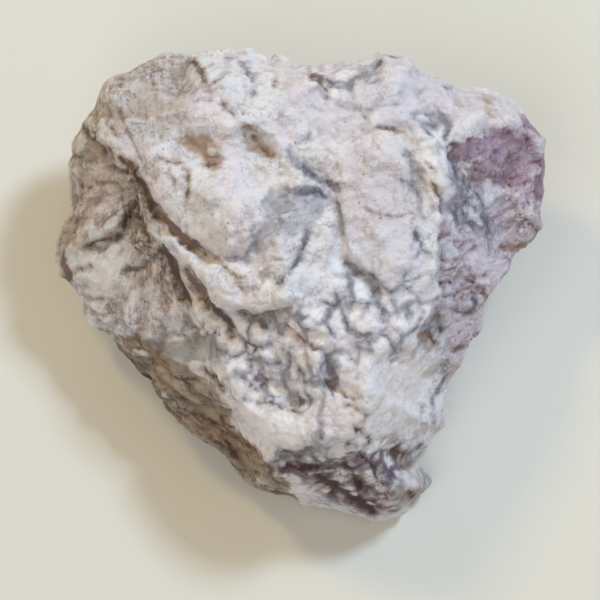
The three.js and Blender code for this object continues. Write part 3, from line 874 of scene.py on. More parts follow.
# %% Brown cracks
BROWN_CRACKS = [
    (0.40, [(190, 60), (197, 68), (202, 78), (208, 89)]),
    (0.26, [(208, 89), (217, 84), (226, 78)]),
    (0.40, [(310, 70), (314, 80), (322, 82), (326, 90), (326, 99)]),
    (0.18, [(276, 79), (276, 87)]),
    (0.22, [(366, 133), (380, 131), (392, 132), (404, 136)]),
    (0.46, [(160, 218), (172, 228), (186, 238), (200, 247), (210, 256)]),
    (0.15, [(210, 256), (222, 262), (236, 276), (249, 280)]),
    (0.18, [(240, 313), (252, 318), (266, 318), (280, 313), (294, 305)]),
    (0.24, [(286, 326), (295, 334), (303, 342), (312, 347), (322, 350)]),
    (0.18, [(281, 404), (288, 408), (299, 412)]),
    (0.28, [(245, 378), (250, 385), (256, 390)]),
    (0.24, [(334, 388), (342, 392), (350, 399)]),
    (0.30, [(346, 403), (356, 408), (366, 413)]),
    (0.30, [(349, 424), (358, 431), (366, 435), (370, 442)]),
    (0.12, [(345, 443), (357, 444)]),
    (0.12, [(346, 451), (357, 452)]),
    (0.24, [(420, 338), (426, 333), (430, 340), (438, 345)]),
    (0.12, [(366, 209), (374, 215), (386, 219), (400, 219), (409, 215)]),
    (0.24, [(424, 165), (431, 170), (438, 172)]),
    (0.28, [(430, 188), (437, 196), (441, 206), (443, 215)]),
    (0.22, [(502, 245), (512, 247), (524, 246), (535, 240)]),
    (0.26, [(519, 214), (530, 222), (539, 231)]),
    (0.20, [(511, 204), (520, 212)]),
    (0.24, [(458, 272), (466, 270), (474, 276), (483, 275)]),
    (0.26, [(466, 280), (474, 283), (480, 291), (486, 297)]),
    (0.20, [(499, 172), (507, 180), (516, 190)]),
    (0.24, [(462, 162), (478, 165)]),
    (0.30, [(468, 180), (482, 181)]),
    (0.16, [(441, 262), (452, 262), (464, 258), (478, 246)]),
    (0.16, [(441, 284), (452, 280), (460, 274)]),
    # left flank
    (0.34, [(81, 124), (84, 132), (93, 140), (100, 145), (104, 156)]),
    (0.26, [(104, 118), (111, 127), (118, 138)]),
    (0.34, [(66, 152), (76, 157), (91, 160)]),
    (0.28, [(78, 186), (86, 187), (93, 190)]),
    (0.20, [(66, 199), (76, 198), (83, 194)]),
    (0.16, [(62, 217), (72, 219), (85, 217)]),
    (0.20, [(60, 228), (70, 231), (77, 224)]),
    (0.55, [(57, 256), (61, 268), (67, 281)]),
    (0.30, [(100, 146), (114, 156), (128, 164), (138, 171)]),
    (0.22, [(108, 168), (119, 173), (128, 175), (133, 170)]),
    (0.18, [(145, 169), (150, 176), (159, 183)]),
    (0.13, [(184, 163), (189, 174), (190, 186), (188, 198), (186, 207)]),
    (0.22, [(190, 326), (196, 332), (202, 326)]),
    (0.70, [(186, 270), (196, 284), (207, 299)]),
    (0.30, [(140, 222), (148, 236), (150, 250), (156, 260)]),
    # knob and wedge
    (0.16, [(146, 170), (151, 179), (153, 186)]),
    (0.14, [(169, 178), (175, 187)]),
    (0.12, [(243, 128), (250, 130), (257, 133)]),
    (0.12, [(246, 139), (255, 142)]),
    (0.16, [(258, 148), (265, 153), (272, 159)]),
    (0.12, [(197, 105), (206, 101), (214, 103), (226, 109)]),
    (0.12, [(174, 232), (184, 243), (196, 252)]),
    (0.12, [(240, 288), (246, 292), (258, 290)]),
    (0.16, [(206, 163), (212, 168), (218, 165)]),
    # right flank: short dark flecks
    (0.16, [(462, 172), (472, 170), (482, 174)]),
    (0.16, [(468, 186), (480, 188)]),
    (0.14, [(490, 158), (500, 166), (506, 176)]),
    (0.14, [(440, 240), (448, 236), (456, 238)]),
    (0.14, [(444, 272), (456, 266), (466, 262)]),
    (0.16, [(452, 296), (464, 290), (476, 284)]),
]
print(len(BROWN_CRACKS), "brown cracks")

# %% [markdown]
# ## Shaded hollows and ochre stains
# The deepest hollows are painted dark as shade: the long crease, the wall under it and the
# hollow over the front tip. A few ochre spots are rust that has soaked into the chalk. They
# are lines too, only wider and softer, and the relief leaves the ochre ones alone.

# %% Shaded hollows and ochre stains
SHADED_HOLLOWS = [
    (0.62, [(135, 174), (143, 188), (150, 202), (158, 219)]),
    (0.55, [(132, 205), (130, 218), (125, 232)]),
    (0.42, [(124, 235), (110, 240), (98, 243), (85, 249)]),
    (0.30, [(124, 270), (136, 269), (147, 264)]),
    (0.30, [(76, 267), (82, 269), (88, 267)]),
    (0.12, [(80, 296), (90, 300), (102, 298)]),
    (0.14, [(86, 312), (98, 316), (112, 312)]),
    (0.12, [(96, 322), (108, 326), (120, 324)]),
    (0.12, [(76, 286), (84, 288)]),
    (0.14, [(80, 306), (88, 309)]),
    (0.12, [(104, 306), (116, 310)]),
    (0.12, [(112, 318), (124, 322)]),
    (0.14, [(92, 331), (104, 334)]),
    (0.30, [(133, 184), (136, 200), (138, 216), (140, 230)]),
    (0.26, [(196, 292), (206, 304), (216, 316)]),
    (0.20, [(158, 160), (166, 163), (181, 162)]),
    (0.60, [(163, 250), (172, 268), (178, 282), (184, 296), (190, 304)]),
    (0.50, [(200, 298), (212, 308), (224, 318), (230, 328), (233, 337)]),
    # front left wall
    (0.28, [
        (120, 352), (130, 368), (142, 380), (152, 390), (160, 402), (172, 414), (184, 425),
    ]),
    (0.22, [(176, 396), (190, 404), (206, 409)]),
    (0.28, [(196, 415), (210, 424), (222, 432), (236, 440), (250, 449), (263, 457)]),
    (0.38, [(222, 437), (230, 450), (238, 464), (243, 476)]),
    (0.24, [(150, 384), (166, 404), (186, 420), (206, 436), (222, 448), (236, 466)]),
    (0.14, [(140, 366), (152, 372), (160, 384), (172, 388)]),
    (0.14, [(150, 350), (156, 362), (168, 368), (172, 380)]),
    (0.14, [(186, 380), (192, 392), (204, 398), (214, 410)]),
    (0.12, [(160, 392), (172, 392), (180, 400)]),
    (0.16, [(206, 420), (214, 432), (226, 440)]),
    (0.14, [(240, 452), (250, 462), (262, 466)]),
    (0.30, [(202, 369), (213, 379), (223, 391)]),
    # over the front tip
    (0.55, [(281, 468), (298, 469), (314, 467), (323, 471)]),
    (0.75, [(316, 476), (326, 484), (340, 494), (356, 502), (373, 515)]),
    (0.50, [(317, 486), (333, 489)]),
    (0.75, [(362, 456), (372, 464), (381, 475)]),
    (0.50, [(352, 478), (360, 488), (358, 497)]),
    (0.50, [(384, 480), (387, 492), (384, 503)]),
    (0.34, [(344, 462), (353, 471)]),
    (0.55, [(396, 454), (405, 459)]),
    (0.26, [(404, 467), (411, 466), (418, 462)]),
    (0.42, [(411, 495), (417, 503)]),
    # single deep hollows
    (0.46, [(450, 157), (457, 152)]),
    (0.36, [(327, 382), (333, 386)]),
]
OCHRE_STAINS = [
    (1.00, [(187, 142), (199, 146), (209, 154), (217, 165)]),
    (0.50, [(250, 145), (262, 151), (272, 157)]),
    (0.28, [(240, 131), (253, 132)]),
    (0.22, [(504, 244), (520, 246), (534, 241)]),
    (0.30, [(236, 277), (242, 278)]),
    (0.30, [(486, 99), (490, 101)]),
    (0.12, [(489, 110), (491, 115)]),
    (0.25, [(424, 338), (434, 346)]),
]
print(len(SHADED_HOLLOWS), "dark hollows,", len(OCHRE_STAINS), "ochre stains")

# %% [markdown]
# ## Zones of colour
# Clay minerals and iron have stained parts of the stone: the tan flank on the left, a
# slate-grey
# patch in the middle and part of the plum over the front tip. Other zones are painted shade:
# the umber wall under the tan flank, the mauve flank as a cool shade, the purple face on the
# corner block, most of the plum, part of the tan, and in part the faint blush on the upper
# face.
# More zones say where the surface is combed into ridges, knobbly with veins, set with small
# crystals, or clean and white, which is partly a painted highlight. They could be painted by
# hand on the mesh, but an outline with a soft edge is easier to correct.

# %% Zone outlines
# A zone: width of its edge in mm, and its outlines.
ZONES = {
    # partly a stain, partly painted warm shade on the left flank
    "tan": (2.2, [
        [(20, 110), (90, 70), (150, 40), (186, 40), (196, 92), (178, 128), (150, 152),
         (148, 182), (162, 215), (152, 246), (122, 240), (80, 250), (20, 262)],
        [(132, 218), (150, 226), (164, 262), (172, 290), (150, 284), (132, 262), (126, 236)],
        [(408, 462), (436, 476), (434, 494), (412, 510), (402, 490)],
        [(498, 196), (530, 200), (548, 214), (538, 244), (508, 248), (494, 232)],
    ]),
    # partly painted shade: a pinkish grey over the back edge and the tablet
    "blush_and_shade": (2.4, [
        [(270, 50), (420, 46), (470, 80), (532, 92), (524, 114), (470, 148), (440, 130),
         (400, 128), (330, 142), (290, 112)],
        [(346, 150), (398, 146), (412, 200), (410, 272), (382, 286), (346, 230)],
    ]),
    "combed": (1.6, [
        [(64, 262), (122, 236), (150, 214), (170, 262), (196, 306), (208, 336), (150, 346),
         (104, 336), (72, 300)],
    ]),
    # painted shade: the lower left wall faces away from both lights
    "umber_shade": (0.9, [
        [(96, 336), (142, 337), (184, 364), (218, 388), (230, 420), (254, 446), (274, 470),
         (288, 490), (322, 536), (290, 560), (190, 480), (80, 350)],
    ]),
    # painted cool shade on the right flank
    "mauve_shade": (1.8, [
        [(442, 222), (452, 160), (500, 122), (570, 110), (570, 260), (505, 300), (490, 350),
         (456, 400), (447, 360), (441, 300)],
    ]),
    # painted shade on the corner block's front face and in small hollows
    "purple_shade": (0.5, [
        [(472, 148), (498, 128), (526, 112), (565, 140), (552, 205), (520, 196), (500, 190),
         (484, 172)],
        [(452, 160), (464, 144), (490, 134), (494, 148), (470, 160)],
        [(462, 172), (478, 162), (496, 168), (498, 184), (478, 180)],
        [(439, 216), (452, 224), (450, 240), (438, 242)],
        [(374, 500), (384, 498), (390, 508), (382, 514)],
    ]),
    # painted shade over the front tip, partly a stain
    "plum_shade": (1.0, [
        [(270, 466), (298, 450), (322, 447), (334, 459), (362, 452), (398, 447), (408, 462),
         (394, 480), (388, 500), (394, 512), (372, 520), (344, 506), (322, 500), (314, 484),
         (284, 476)],
        [(446, 146), (456, 142), (464, 150), (458, 161), (447, 159)],
    ]),
    "slate": (0.9, [
        [(264, 188), (290, 192), (302, 188), (330, 194), (320, 216), (298, 236), (284, 236),
         (264, 252), (248, 262), (262, 226)],
        [(386, 462), (402, 466), (408, 500), (398, 516), (386, 500)],
    ]),
    "crystal": (0.8, [
        [(150, 340), (176, 340), (200, 334), (228, 342), (226, 358), (206, 364), (184, 362),
         (158, 352)],
    ]),
    "netted": (1.8, [
        [(232, 318), (300, 302), (345, 264), (402, 292), (440, 300), (440, 348), (352, 358),
         (342, 398), (300, 410), (240, 402), (226, 362)],
        [(304, 68), (352, 72), (354, 98), (318, 104)],
        [(414, 120), (448, 120), (462, 165), (498, 190), (494, 240), (470, 232), (440, 226),
         (414, 210)],
        [(268, 452), (400, 446), (410, 470), (394, 515), (320, 500)],
        [(146, 338), (184, 316), (232, 326), (230, 366), (184, 366)],
    ]),
    # partly a painted highlight, most of all on the white facet of the left shelf
    "clean_and_lit": (1.4, [
        [(360, 362), (430, 356), (440, 400), (410, 430), (380, 400)],
        [(74, 262), (112, 252), (120, 292), (86, 302)],
        [(245, 405), (300, 412), (305, 440), (262, 440)],
    ]),
}
print(", ".join(ZONES))

# %% [markdown]
# ## Marks on the skin
# Lines and zones have to reach the material and the relief somehow. An attribute is a number
# that is kept for every corner of a mesh, and both can read it. For a line it is the
# distance to the line's edge, which the material turns into a vein with a frayed border and
# the relief into a furrow. For a zone it is a share from 0 to 1. Two more marks say how far
# a corner lies under its surroundings.

# %% Tools for the marks
FARTHEST = 3.0  # mm, beyond which the distance to a line no longer matters
TAPER = 0.35  # share of a line's half width that is lost at its ends
TAPER_SPEED = 6  # an end is thinner over a sixth of the line's length


def line_distance(lines, u, v):
    """Distance to the nearest line's edge, less than nothing on the line itself."""
    best = np.full(u.shape, FARTHEST)
    for half, points in lines:
        chain = Chain(points)
        near = chain.near(u, v, FARTHEST)
        distance, along = chain.nearest(u[near], v[near])
        taper = TAPER * half * clamp(1 - TAPER_SPEED * np.minimum(along, 1 - along))
        best[near] = np.minimum(best[near], distance - half + taper)
    return best


def zone_share(edge, outlines, u, v):
    """1 inside the outlines, 0 well outside."""
    share = np.zeros(u.shape)
    for points in outlines:
        chain = Chain(points, closed=True)
        near = chain.near(u, v, edge)
        depth = chain.inside(u[near], v[near])
        share[near] = np.maximum(share[near], soft_inside(depth, edge))
    return share


def sunk(points, faces, rounds, full):
    """How far each corner lies under its smoothed surroundings, -1 to 1."""
    smooth = points
    for _ in range(rounds):
        smooth = smooth + 0.5 * (neighbours_middle(smooth, faces) - smooth)
    depth = ((smooth - points) * directions(points, faces)).sum(1)
    return np.clip(depth / full, -1, 1)


print("mark tools ready")

# %% [markdown]
# ## Marks worked out
# The lines were drawn with straight pieces, so the places are bent by a small wander before
# the distances are measured, and by twice as much for the zones. Veins drawn on the face
# must not show through on the hidden side, so the distance grows there.

# %% Marks on the skin
LINE_WANDER = 0.28  # mm
WANDER_SIZES = (1.3, 0.6)
BELOW_START = 1.5  # mm under the rim, where the hidden side begins
BELOW_REACH = 5  # mm from there to where it is wholly hidden
HOLLOW_ROUNDS = {"hollow": (6, 0.10), "wide_hollow": (60, 0.45)}  # rounds, full depth in mm
LINE_SETS = {"grey_line": GREY_VEINS, "brown_line": BROWN_CRACKS,
             "hollow_shade_line": SHADED_HOLLOWS, "ochre_line": OCHRE_STAINS}


def wander(points, seed):
    """A small bend, in mm."""
    slow, quick = WANDER_SIZES
    slow, quick = unevenness(points / slow, seed), unevenness(points / quick, seed + 2)
    return LINE_WANDER * (slow + 0.6 * quick)


u, v, w = to_face(skin)
bend_u, bend_v = wander(skin, seed=41), wander(skin, seed=42)
below = ease(clamp((rim_level(u, v) - w - BELOW_START) / BELOW_REACH))
marks = {"below": below}
for name, lines in LINE_SETS.items():
    marks[name] = line_distance(lines, u + bend_u, v + bend_v) + FARTHEST * below
for name, (edge, outlines) in ZONES.items():
    marks[name] = zone_share(edge, outlines, u + 2 * bend_u, v + 2 * bend_v)
for name, (rounds, full) in HOLLOW_ROUNDS.items():
    marks[name] = sunk(skin, faces, rounds, full)
print({name: round(float(value.mean()), 2) for name, value in marks.items()})

# %% [markdown]
# ## The stone's mesh
# The skin becomes a mesh of its own, with its marks as attributes. It is measured from the
# centred stone, so the object can stand at the origin, unturned.

# %% The stone's mesh
stone_mesh = bpy.data.meshes.new("howlite_stone")
stone_mesh.from_pydata((skin - CENTRED_BY) * MM, [], faces)
for name, value in marks.items():
    attribute = stone_mesh.attributes.new(name, "FLOAT", "POINT")
    attribute.data.foreach_set("value", value.astype(np.float32))
stone_piece = bpy.data.objects.new("howlite_stone", stone_mesh)
scene.collection.objects.link(stone_piece)
print("corners:", len(stone_mesh.vertices), "marks:", len(marks))

# %% [markdown]
# ## Writing node trees as sums
# A node tree is a formula drawn as boxes. It is easier to read as a formula, so one small
# class stands for a node's output, and adding or multiplying two of them adds a Math node.
# Every other node comes from one method: its settings are made first, then its sockets are
# filled with numbers or linked. The same class builds the relief and the material.

# %% Node recipes
class Value:
    """The output of a node. Sums on it add Math nodes to its tree."""

    def __init__(self, recipe, socket):
        self.recipe = recipe
        self.socket = socket

    def __add__(self, other):
        return self.recipe.maths("ADD", self, other)

    def __sub__(self, other):
        return self.recipe.maths("SUBTRACT", self, other)

    def __rsub__(self, other):
        return self.recipe.maths("SUBTRACT", other, self)

    def __mul__(self, other):
        return self.recipe.maths("MULTIPLY", self, other)

    __radd__ = __add__
    __rmul__ = __mul__


class Recipe:
    """Builds one node tree."""

    def __init__(self, tree):
        self.tree = tree

    def node(self, kind, settings=(), sockets=()):
        """A new node: its settings first, then its sockets by name or number."""
        made = self.tree.nodes.new(kind)
        for name, setting in dict(settings).items():
            setattr(made, name, setting)
        for key, value in dict(sockets).items():
            if isinstance(value, Value):
                self.tree.links.new(value.socket, made.inputs[key])
            else:
                made.inputs[key].default_value = value
        return made

    def value(self, kind, settings=(), sockets=(), output=0):
        return Value(self, self.node(kind, settings, sockets).outputs[output])

    def maths(self, operation, *values):
        return self.value("ShaderNodeMath", {"operation": operation}, enumerate(values))

    def vectors(self, operation, *values, output=0):
        return self.value("ShaderNodeVectorMath", {"operation": operation}, enumerate(values),
                          output)

    def scaled(self, vector, by):
        sockets = {"Vector": vector, "Scale": by}
        return self.value("ShaderNodeVectorMath", {"operation": "SCALE"}, sockets)

    def fade(self, value, start, end):
        """0 at start and 1 at end, with a smooth step between them."""
        sockets = {"Value": value, "From Min": start, "From Max": end}
        return self.value("ShaderNodeMapRange", {"interpolation_type": "SMOOTHSTEP"}, sockets)

    def noise(self, place, size, detail=3.0, rough=0.55, output=0):
        """Cloudy noise whose clouds are about size mm apart."""
        sockets = {"Vector": place, "Scale": 1 / size, "Detail": detail, "Roughness": rough}
        return self.value("ShaderNodeTexNoise", (), sockets, output)

    def cells(self, place, size, feature="DISTANCE_TO_EDGE", output=0):
        """Distance in a pattern of cells about size mm wide."""
        sockets = {"Vector": place, "Scale": 1 / size}
        return self.value("ShaderNodeTexVoronoi", {"feature": feature}, sockets, output)


print("recipes ready")

# %% [markdown]
# ## Patterns of broken stone
# Blender has two patterns that suit stone: clouds of noise, and cells, which split space
# round scattered points. Everything here is one of the two, changed a little. The distance
# to a cell's point, squared, is a bowl. A random tilt for each cell gives flat facets. Noise
# on a place that is drawn out one way gives streaks, and a place that is first moved about
# by noise bends whatever pattern lies on it.

# %% Stone patterns
HALF = (0.5, 0.5, 0.5)  # noise and random colours lie round this middle
FAN_MIDDLE = on_face([(150, 200)])[0]
FAN_STRETCH = (7.5, 0.30, 0.40)  # round the crease, outward and up
STREAK_TURN = math.radians(-24)
STREAK_STRETCH = (0.38, 1.4, 0.8)
WALL_TURN = math.radians(39)
WALL_STRETCH = (0.42, 1.2, 0.8)


class StoneRecipe(Recipe):
    """A recipe that knows the patterns of this stone. Places and sizes are in mm."""

    def moved(self, place, by):
        return self.vectors("ADD", place, by)

    def shifted(self, place, size, by, seed):
        """The place moved about by noise, so that a pattern on it bends."""
        apart = self.moved(place, (seed, 2 * seed, 3 * seed))
        colour = self.noise(apart, size, detail=2.0, rough=0.5, output=1)
        push = self.vectors("SUBTRACT", colour, HALF)
        return self.vectors("ADD", place, self.scaled(push, by))

    def drawn_out(self, place, turn, stretch):
        """The place turned about the upright axis, then squeezed or stretched."""
        turned = self.value("ShaderNodeVectorRotate", {"rotation_type": "Z_AXIS"},
                            {"Vector": place, "Angle": turn})
        return self.vectors("MULTIPLY", turned, stretch)

    def bowls(self, place, size):
        """Shallow bowls with sharp ridges between them, -0.5 to 0.8."""
        distance = self.cells(place, size, "F1")
        return distance * distance * 2.5 - 0.5

    def facets(self, place, size):
        """Flat facets, each tilted its own way: height in mm."""
        made = self.node("ShaderNodeTexVoronoi", {"feature": "F1"},
                         {"Vector": place, "Scale": 1 / size})
        colour, middle = (Value(self, made.outputs[name]) for name in ("Color", "Position"))
        tilt = self.vectors("SUBTRACT", colour, HALF)
        reach = self.vectors("SUBTRACT", place, middle)
        return self.vectors("DOT_PRODUCT", reach, tilt, output="Value")

    def lots(self, place, size):
        """A random share for each cell."""
        colour = self.cells(place, size, "F1", 1)
        return self.value("ShaderNodeSeparateColor", (), {"Color": colour})

    def fan(self, place):
        """Noise drawn out into ridges that fan out of the crease, about -0.5 to 0.5."""
        from_middle = self.vectors("SUBTRACT", place, (*FAN_MIDDLE, 0.0))
        split = self.node("ShaderNodeSeparateXYZ", (), {"Vector": from_middle})
        east, north, high = (Value(self, socket) for socket in split.outputs)
        turn = self.maths("ARCTAN2", north, east)
        reach = self.vectors("LENGTH", from_middle, output="Value")
        round_by, out_by, up_by = FAN_STRETCH
        drawn = self.value("ShaderNodeCombineXYZ", (),
                           {"X": turn * round_by, "Y": reach * out_by, "Z": high * up_by})
        return self.noise(drawn, 1.1, detail=5.0, rough=0.64) - 0.5

    def streaks(self, place):
        """Noise drawn out into nearly straight streaks, about -0.5 to 0.5."""
        drawn = self.drawn_out(place, STREAK_TURN, STREAK_STRETCH)
        return self.noise(drawn, 1.2, detail=5.0, rough=0.62) - 0.5

    def wall_cracks(self, place):
        """1 on cracks that run along the lower left wall."""
        bent = self.shifted(place, size=1.6, by=1.1, seed=4.0)
        drawn = self.drawn_out(bent, WALL_TURN, WALL_STRETCH)
        in_places = self.fade(self.noise(place, 2.8), 0.36, 0.54)
        return self.fade(self.cells(drawn, 1.7), 0.13, 0.0) * in_places


print("stone patterns ready")

# %% [markdown]
# ## Fine relief
# Up close the broken face is made of small shell-shaped chips with sharp ridges between
# them. Where the veins are dense it has rounded nodules instead, with furrows between them.
# The tan flank has ridges that fan out of the crease. Such relief follows the surface, which
# is what Geometry Nodes are for: the tree moves every corner along its normal by a sum of a
# few patterns, each weighed by a zone. The heights are inputs of the tree, so one can try
# others without touching the nodes.

# %% Relief inputs
RELIEF_HEIGHTS = {  # mm
    "Facet height": 0.17,
    "Chip height": 0.08,
    "Nodule height": 0.44,
    "Small nodule height": 0.08,
    "Fan height": 0.40,
    "Streak height": 0.22,
    "Grain height": 0.13,
    "Pit depth": 0.12,
    "Vein depth": 0.10,
    "Crack depth": 0.22,
    "Hollow depth": 0.30,
}
relief_tree = bpy.data.node_groups.new("stone_relief", "GeometryNodeTree")
interface = relief_tree.interface
interface.new_socket("Stone", in_out="INPUT", socket_type="NodeSocketGeometry")
for name in (*RELIEF_HEIGHTS, "Seed"):
    interface.new_socket(name, in_out="INPUT", socket_type="NodeSocketFloat")
interface.new_socket("Finish", in_out="INPUT", socket_type="NodeSocketMaterial")
interface.new_socket("Stone", in_out="OUTPUT", socket_type="NodeSocketGeometry")

relief = StoneRecipe(relief_tree)
given = relief.node("NodeGroupInput")
size = {socket.name: Value(relief, socket) for socket in given.outputs}
print("relief inputs:", ", ".join(RELIEF_HEIGHTS))

# %% [markdown]
# ## Patterns in the relief
# Facets are flat and tilt each its own way, chips are bowls, and nodules are bowls turned
# over. Pits are small and only in some places. The seed moves all of them at once.

# %% Relief patterns
NODULE_SIZE = 3.1  # mm
SMALL_NODULE_SIZE = 1.7
PIT_SIZE = 1.15


def relief_mark(name):
    return relief.value("GeometryNodeInputNamedAttribute", {"data_type": "FLOAT"},
                        {"Name": name})


mm_place = relief.scaled(relief.value("GeometryNodeInputPosition"), 1 / MM)
seed_shift = relief.value("ShaderNodeCombineXYZ", (), {"X": size["Seed"], "Y": size["Seed"]})
place = relief.moved(mm_place, seed_shift)
bent = relief.shifted(place, size=2.2, by=0.95, seed=5.0)
large_facets = relief.facets(relief.shifted(place, size=5.0, by=2.6, seed=12.0), 4.2)
small_facets = relief.facets(bent, 1.9)
chip_bowls = relief.bowls(relief.shifted(place, size=2.0, by=1.0, seed=12.0), 1.5)
nodule_bowls = relief.bowls(bent, NODULE_SIZE)
small_nodule_bowls = relief.bowls(bent, SMALL_NODULE_SIZE)
grain = relief.noise(place, 1.3, detail=5.0, rough=0.66) - 0.5
pit_cells = relief.cells(relief.shifted(place, size=1.2, by=0.5, seed=9.0), PIT_SIZE, "F1")
pit_places = relief.fade(relief.noise(place, 3.4, detail=2.0), 0.50, 0.66)
pits = relief.fade(pit_cells, 0.34, 0.08) * pit_places
print("pattern nodes:", len(relief_tree.nodes))

# %% [markdown]
# ## The sum of the relief
# Each pattern has its height and its share: chips where the veins are few, nodules where
# they are dense, the fan on the tan and combed zones, streaks on the mauve. The drawn veins,
# cracks and hollows are sunk by their own depths. The sum fades out close to the floor, so
# the flat spot keeps its plane.

# %% Relief sum
REST_CALM = 1.2  # mm over the floor, above which the relief is full
netted = relief_mark("netted")
rough_share = relief.noise(place, 6.0, detail=2.0) * 1.3 + 0.35
chipped = (1.0 - 0.75 * netted) * (1.0 - 0.3 * relief_mark("clean_and_lit")) * rough_share
carving = (size["Facet height"] * (large_facets + small_facets)
           + size["Chip height"] * chip_bowls)
lumping = (size["Nodule height"] * nodule_bowls
           + size["Small nodule height"] * small_nodule_bowls)
fan_share = 0.1 + 1.6 * relief_mark("tan") + 1.4 * relief_mark("combed")
streak_share = 0.1 + 1.6 * relief_mark("mauve_shade")
rise = (carving * chipped - lumping * netted
        + size["Fan height"] * (relief.fan(mm_place) * fan_share)
        + size["Streak height"] * (relief.streaks(mm_place) * streak_share)
        + size["Grain height"] * grain)
sunken = [
    ("Pit depth", pits),
    ("Vein depth", relief.fade(relief_mark("grey_line"), 0.45, -0.15)),
    ("Crack depth", relief.fade(relief_mark("brown_line"), 0.20, -0.20)),
    ("Hollow depth", relief.fade(relief_mark("hollow_shade_line"), 0.45, -0.30)),
    ("Crack depth", relief.wall_cracks(mm_place) * relief_mark("umber_shade")),
]
for name, share in sunken:
    rise = rise - size[name] * share
off_floor = relief.value("ShaderNodeSeparateXYZ", (), {"Vector": mm_place}, 2)
rise = rise * relief.fade(off_floor, 0.0, REST_CALM)
print("sum nodes:", len(relief_tree.nodes))

# %% [markdown]
# ## The end of the tree
# The sum pushes every corner along its normal. It is also stored as one more mark, so that
# the material can tell crests from hollows. The tree ends as plain geometry with its
# material set.

# %% Relief output

offset = relief.scaled(relief.value("GeometryNodeInputNormal"), rise * MM)
kept = relief.value("GeometryNodeStoreNamedAttribute",
                    {"data_type": "FLOAT", "domain": "POINT"},
                    {"Geometry": size["Stone"], "Name": "rise", "Value": rise})
moved = relief.value("GeometryNodeSetPosition", (), {"Geometry": kept, "Offset": offset})
smooth = relief.value("GeometryNodeSetShadeSmooth", (), {"Geometry": moved})
plain = relief.value("GeometryNodeRealizeInstances", (), {"Geometry": smooth})
finished = relief.value("GeometryNodeSetMaterial", (),
                        {"Geometry": plain, "Material": size["Finish"]})
relief.node("NodeGroupOutput", (), {"Stone": finished})
print("relief nodes:", len(relief_tree.nodes))

# %% [markdown]
# ## The stone's finish
# One material covers the whole stone. It starts as chalk that is nowhere quite the same
# white, then adds what lies on it, from the widest to the finest: the clay stains and the
# painted shade of the zones, the net of grey veins, the drawn veins and cracks, painted brown
# shade in the hollows and painted highlights on the crests. Each step lays a colour over the
# last one, by a share that comes from noise and from the marks. Places are measured on the
# object itself, so no pattern slides when the camera moves.

# %% Start of the finish
finish = bpy.data.materials.new("howlite_chalk")
finish.use_nodes = True
finish.node_tree.nodes.clear()
coat = StoneRecipe(finish.node_tree)
MIX_SHARE, MIX_UNDER, MIX_OVER, MIX_RESULT = 0, 6, 7, 2  # a Mix node's colour sockets


def mark(name):
    return coat.value("ShaderNodeAttribute", {"attribute_name": name}, (), "Fac")


def blend(under, over, share):
    """One colour laid over another."""
    return coat.value("ShaderNodeMix", {"data_type": "RGBA"},
                      {MIX_SHARE: share, MIX_UNDER: under, MIX_OVER: over}, MIX_RESULT)


def tell(step):
    print(step + ":", len(finish.node_tree.nodes), "nodes so far")


object_place = coat.value("ShaderNodeTexCoord", (), (), "Object")
where = coat.scaled(object_place, 1 / MM)
rise_here = mark("rise")
netted_here = mark("netted")
clean_and_lit_here = mark("clean_and_lit")
tell("start")

# %% [markdown]
# ## Crumbs too fine for the mesh
# Broken chalk is covered in crumbs smaller than the skin's triangles. They are left to the
# material: two sizes of tilted facets and a quick noise are added up to a fine height. It
# drives the bump at the end, and it also frays the borders of the colours below, as crumbs
# catch dirt on one side. The splintery zones are the roughest and the clean ones the
# smoothest.

# %% Fine crumbs
CRUMB_SIZE = 0.95
SMALL_CRUMB_SIZE = 0.42
bent_place = coat.shifted(where, size=2.2, by=0.95, seed=5.0)
fine_bent = coat.shifted(where, size=0.9, by=0.5, seed=2.0)
crumbs = coat.facets(fine_bent, CRUMB_SIZE)
small_crumbs = coat.facets(fine_bent, SMALL_CRUMB_SIZE)
mottle = coat.noise(where, 1.5, detail=6.0, rough=0.68)
chatter = coat.noise(where, 0.7, detail=5.0, rough=0.7)
splintered = mark("tan") + mark("combed") + mark("mauve_shade")
crumbly = (coat.fade(coat.noise(where, 3.2), 0.36, 0.62) * (1.0 - 0.5 * clean_and_lit_here)
           * (0.8 - 0.4 * netted_here + 0.6 * splintered))
fine_height = ((1.6 * crumbs + 2.0 * small_crumbs) * crumbly
               + (0.75 + 0.35 * splintered) * (chatter - 0.5))
tell("crumbs")

# %% [markdown]
# ## Chalk
# The chalk itself drifts between a warm, a cool and a pinkish white, and it is greyer where
# a finer mottle is low. One plain white would do for a rough look, but up close it looks
# like plaster.

# %% Chalk
WARM_CHALK = paint(243, 237, 236)
COOL_CHALK = paint(235, 234, 240)
PINK_CHALK = paint(239, 226, 231)
SHADED_CHALK = paint(176, 164, 168)
cool_share = coat.fade(coat.noise(where, 9.0, detail=2.0), 0.42, 0.60)
pinkness = coat.noise(coat.moved(where, (31.0, 7.0, 3.0)), 7.0, detail=2.0)
shaded_share = coat.fade(mottle + 0.30 * fine_height, 0.50, 0.30)
colour = blend(WARM_CHALK, COOL_CHALK, cool_share)
colour = blend(colour, PINK_CHALK, coat.fade(pinkness, 0.46, 0.62) * 0.7)
colour = blend(colour, SHADED_CHALK, shaded_share * 0.55)
tell("chalk")

# %% [markdown]
# ## Stained and shaded zones
# Each zone's colour has two shares, one on the crests and one in the hollows, and the stored
# rise of the relief chooses between them. Where a zone is a stain, that is clay gathering in
# the hollows and rubbed off the crests; where it is painted shade, the hollows are painted
# darker as shade. The border of a zone is frayed by noise, which hides the straight pieces of
# its outline.

# %% Stained and shaded zones
# painted shade for the corner block's face and the low streaks of the right flank
PURPLE_SHADE = paint(163, 127, 147)
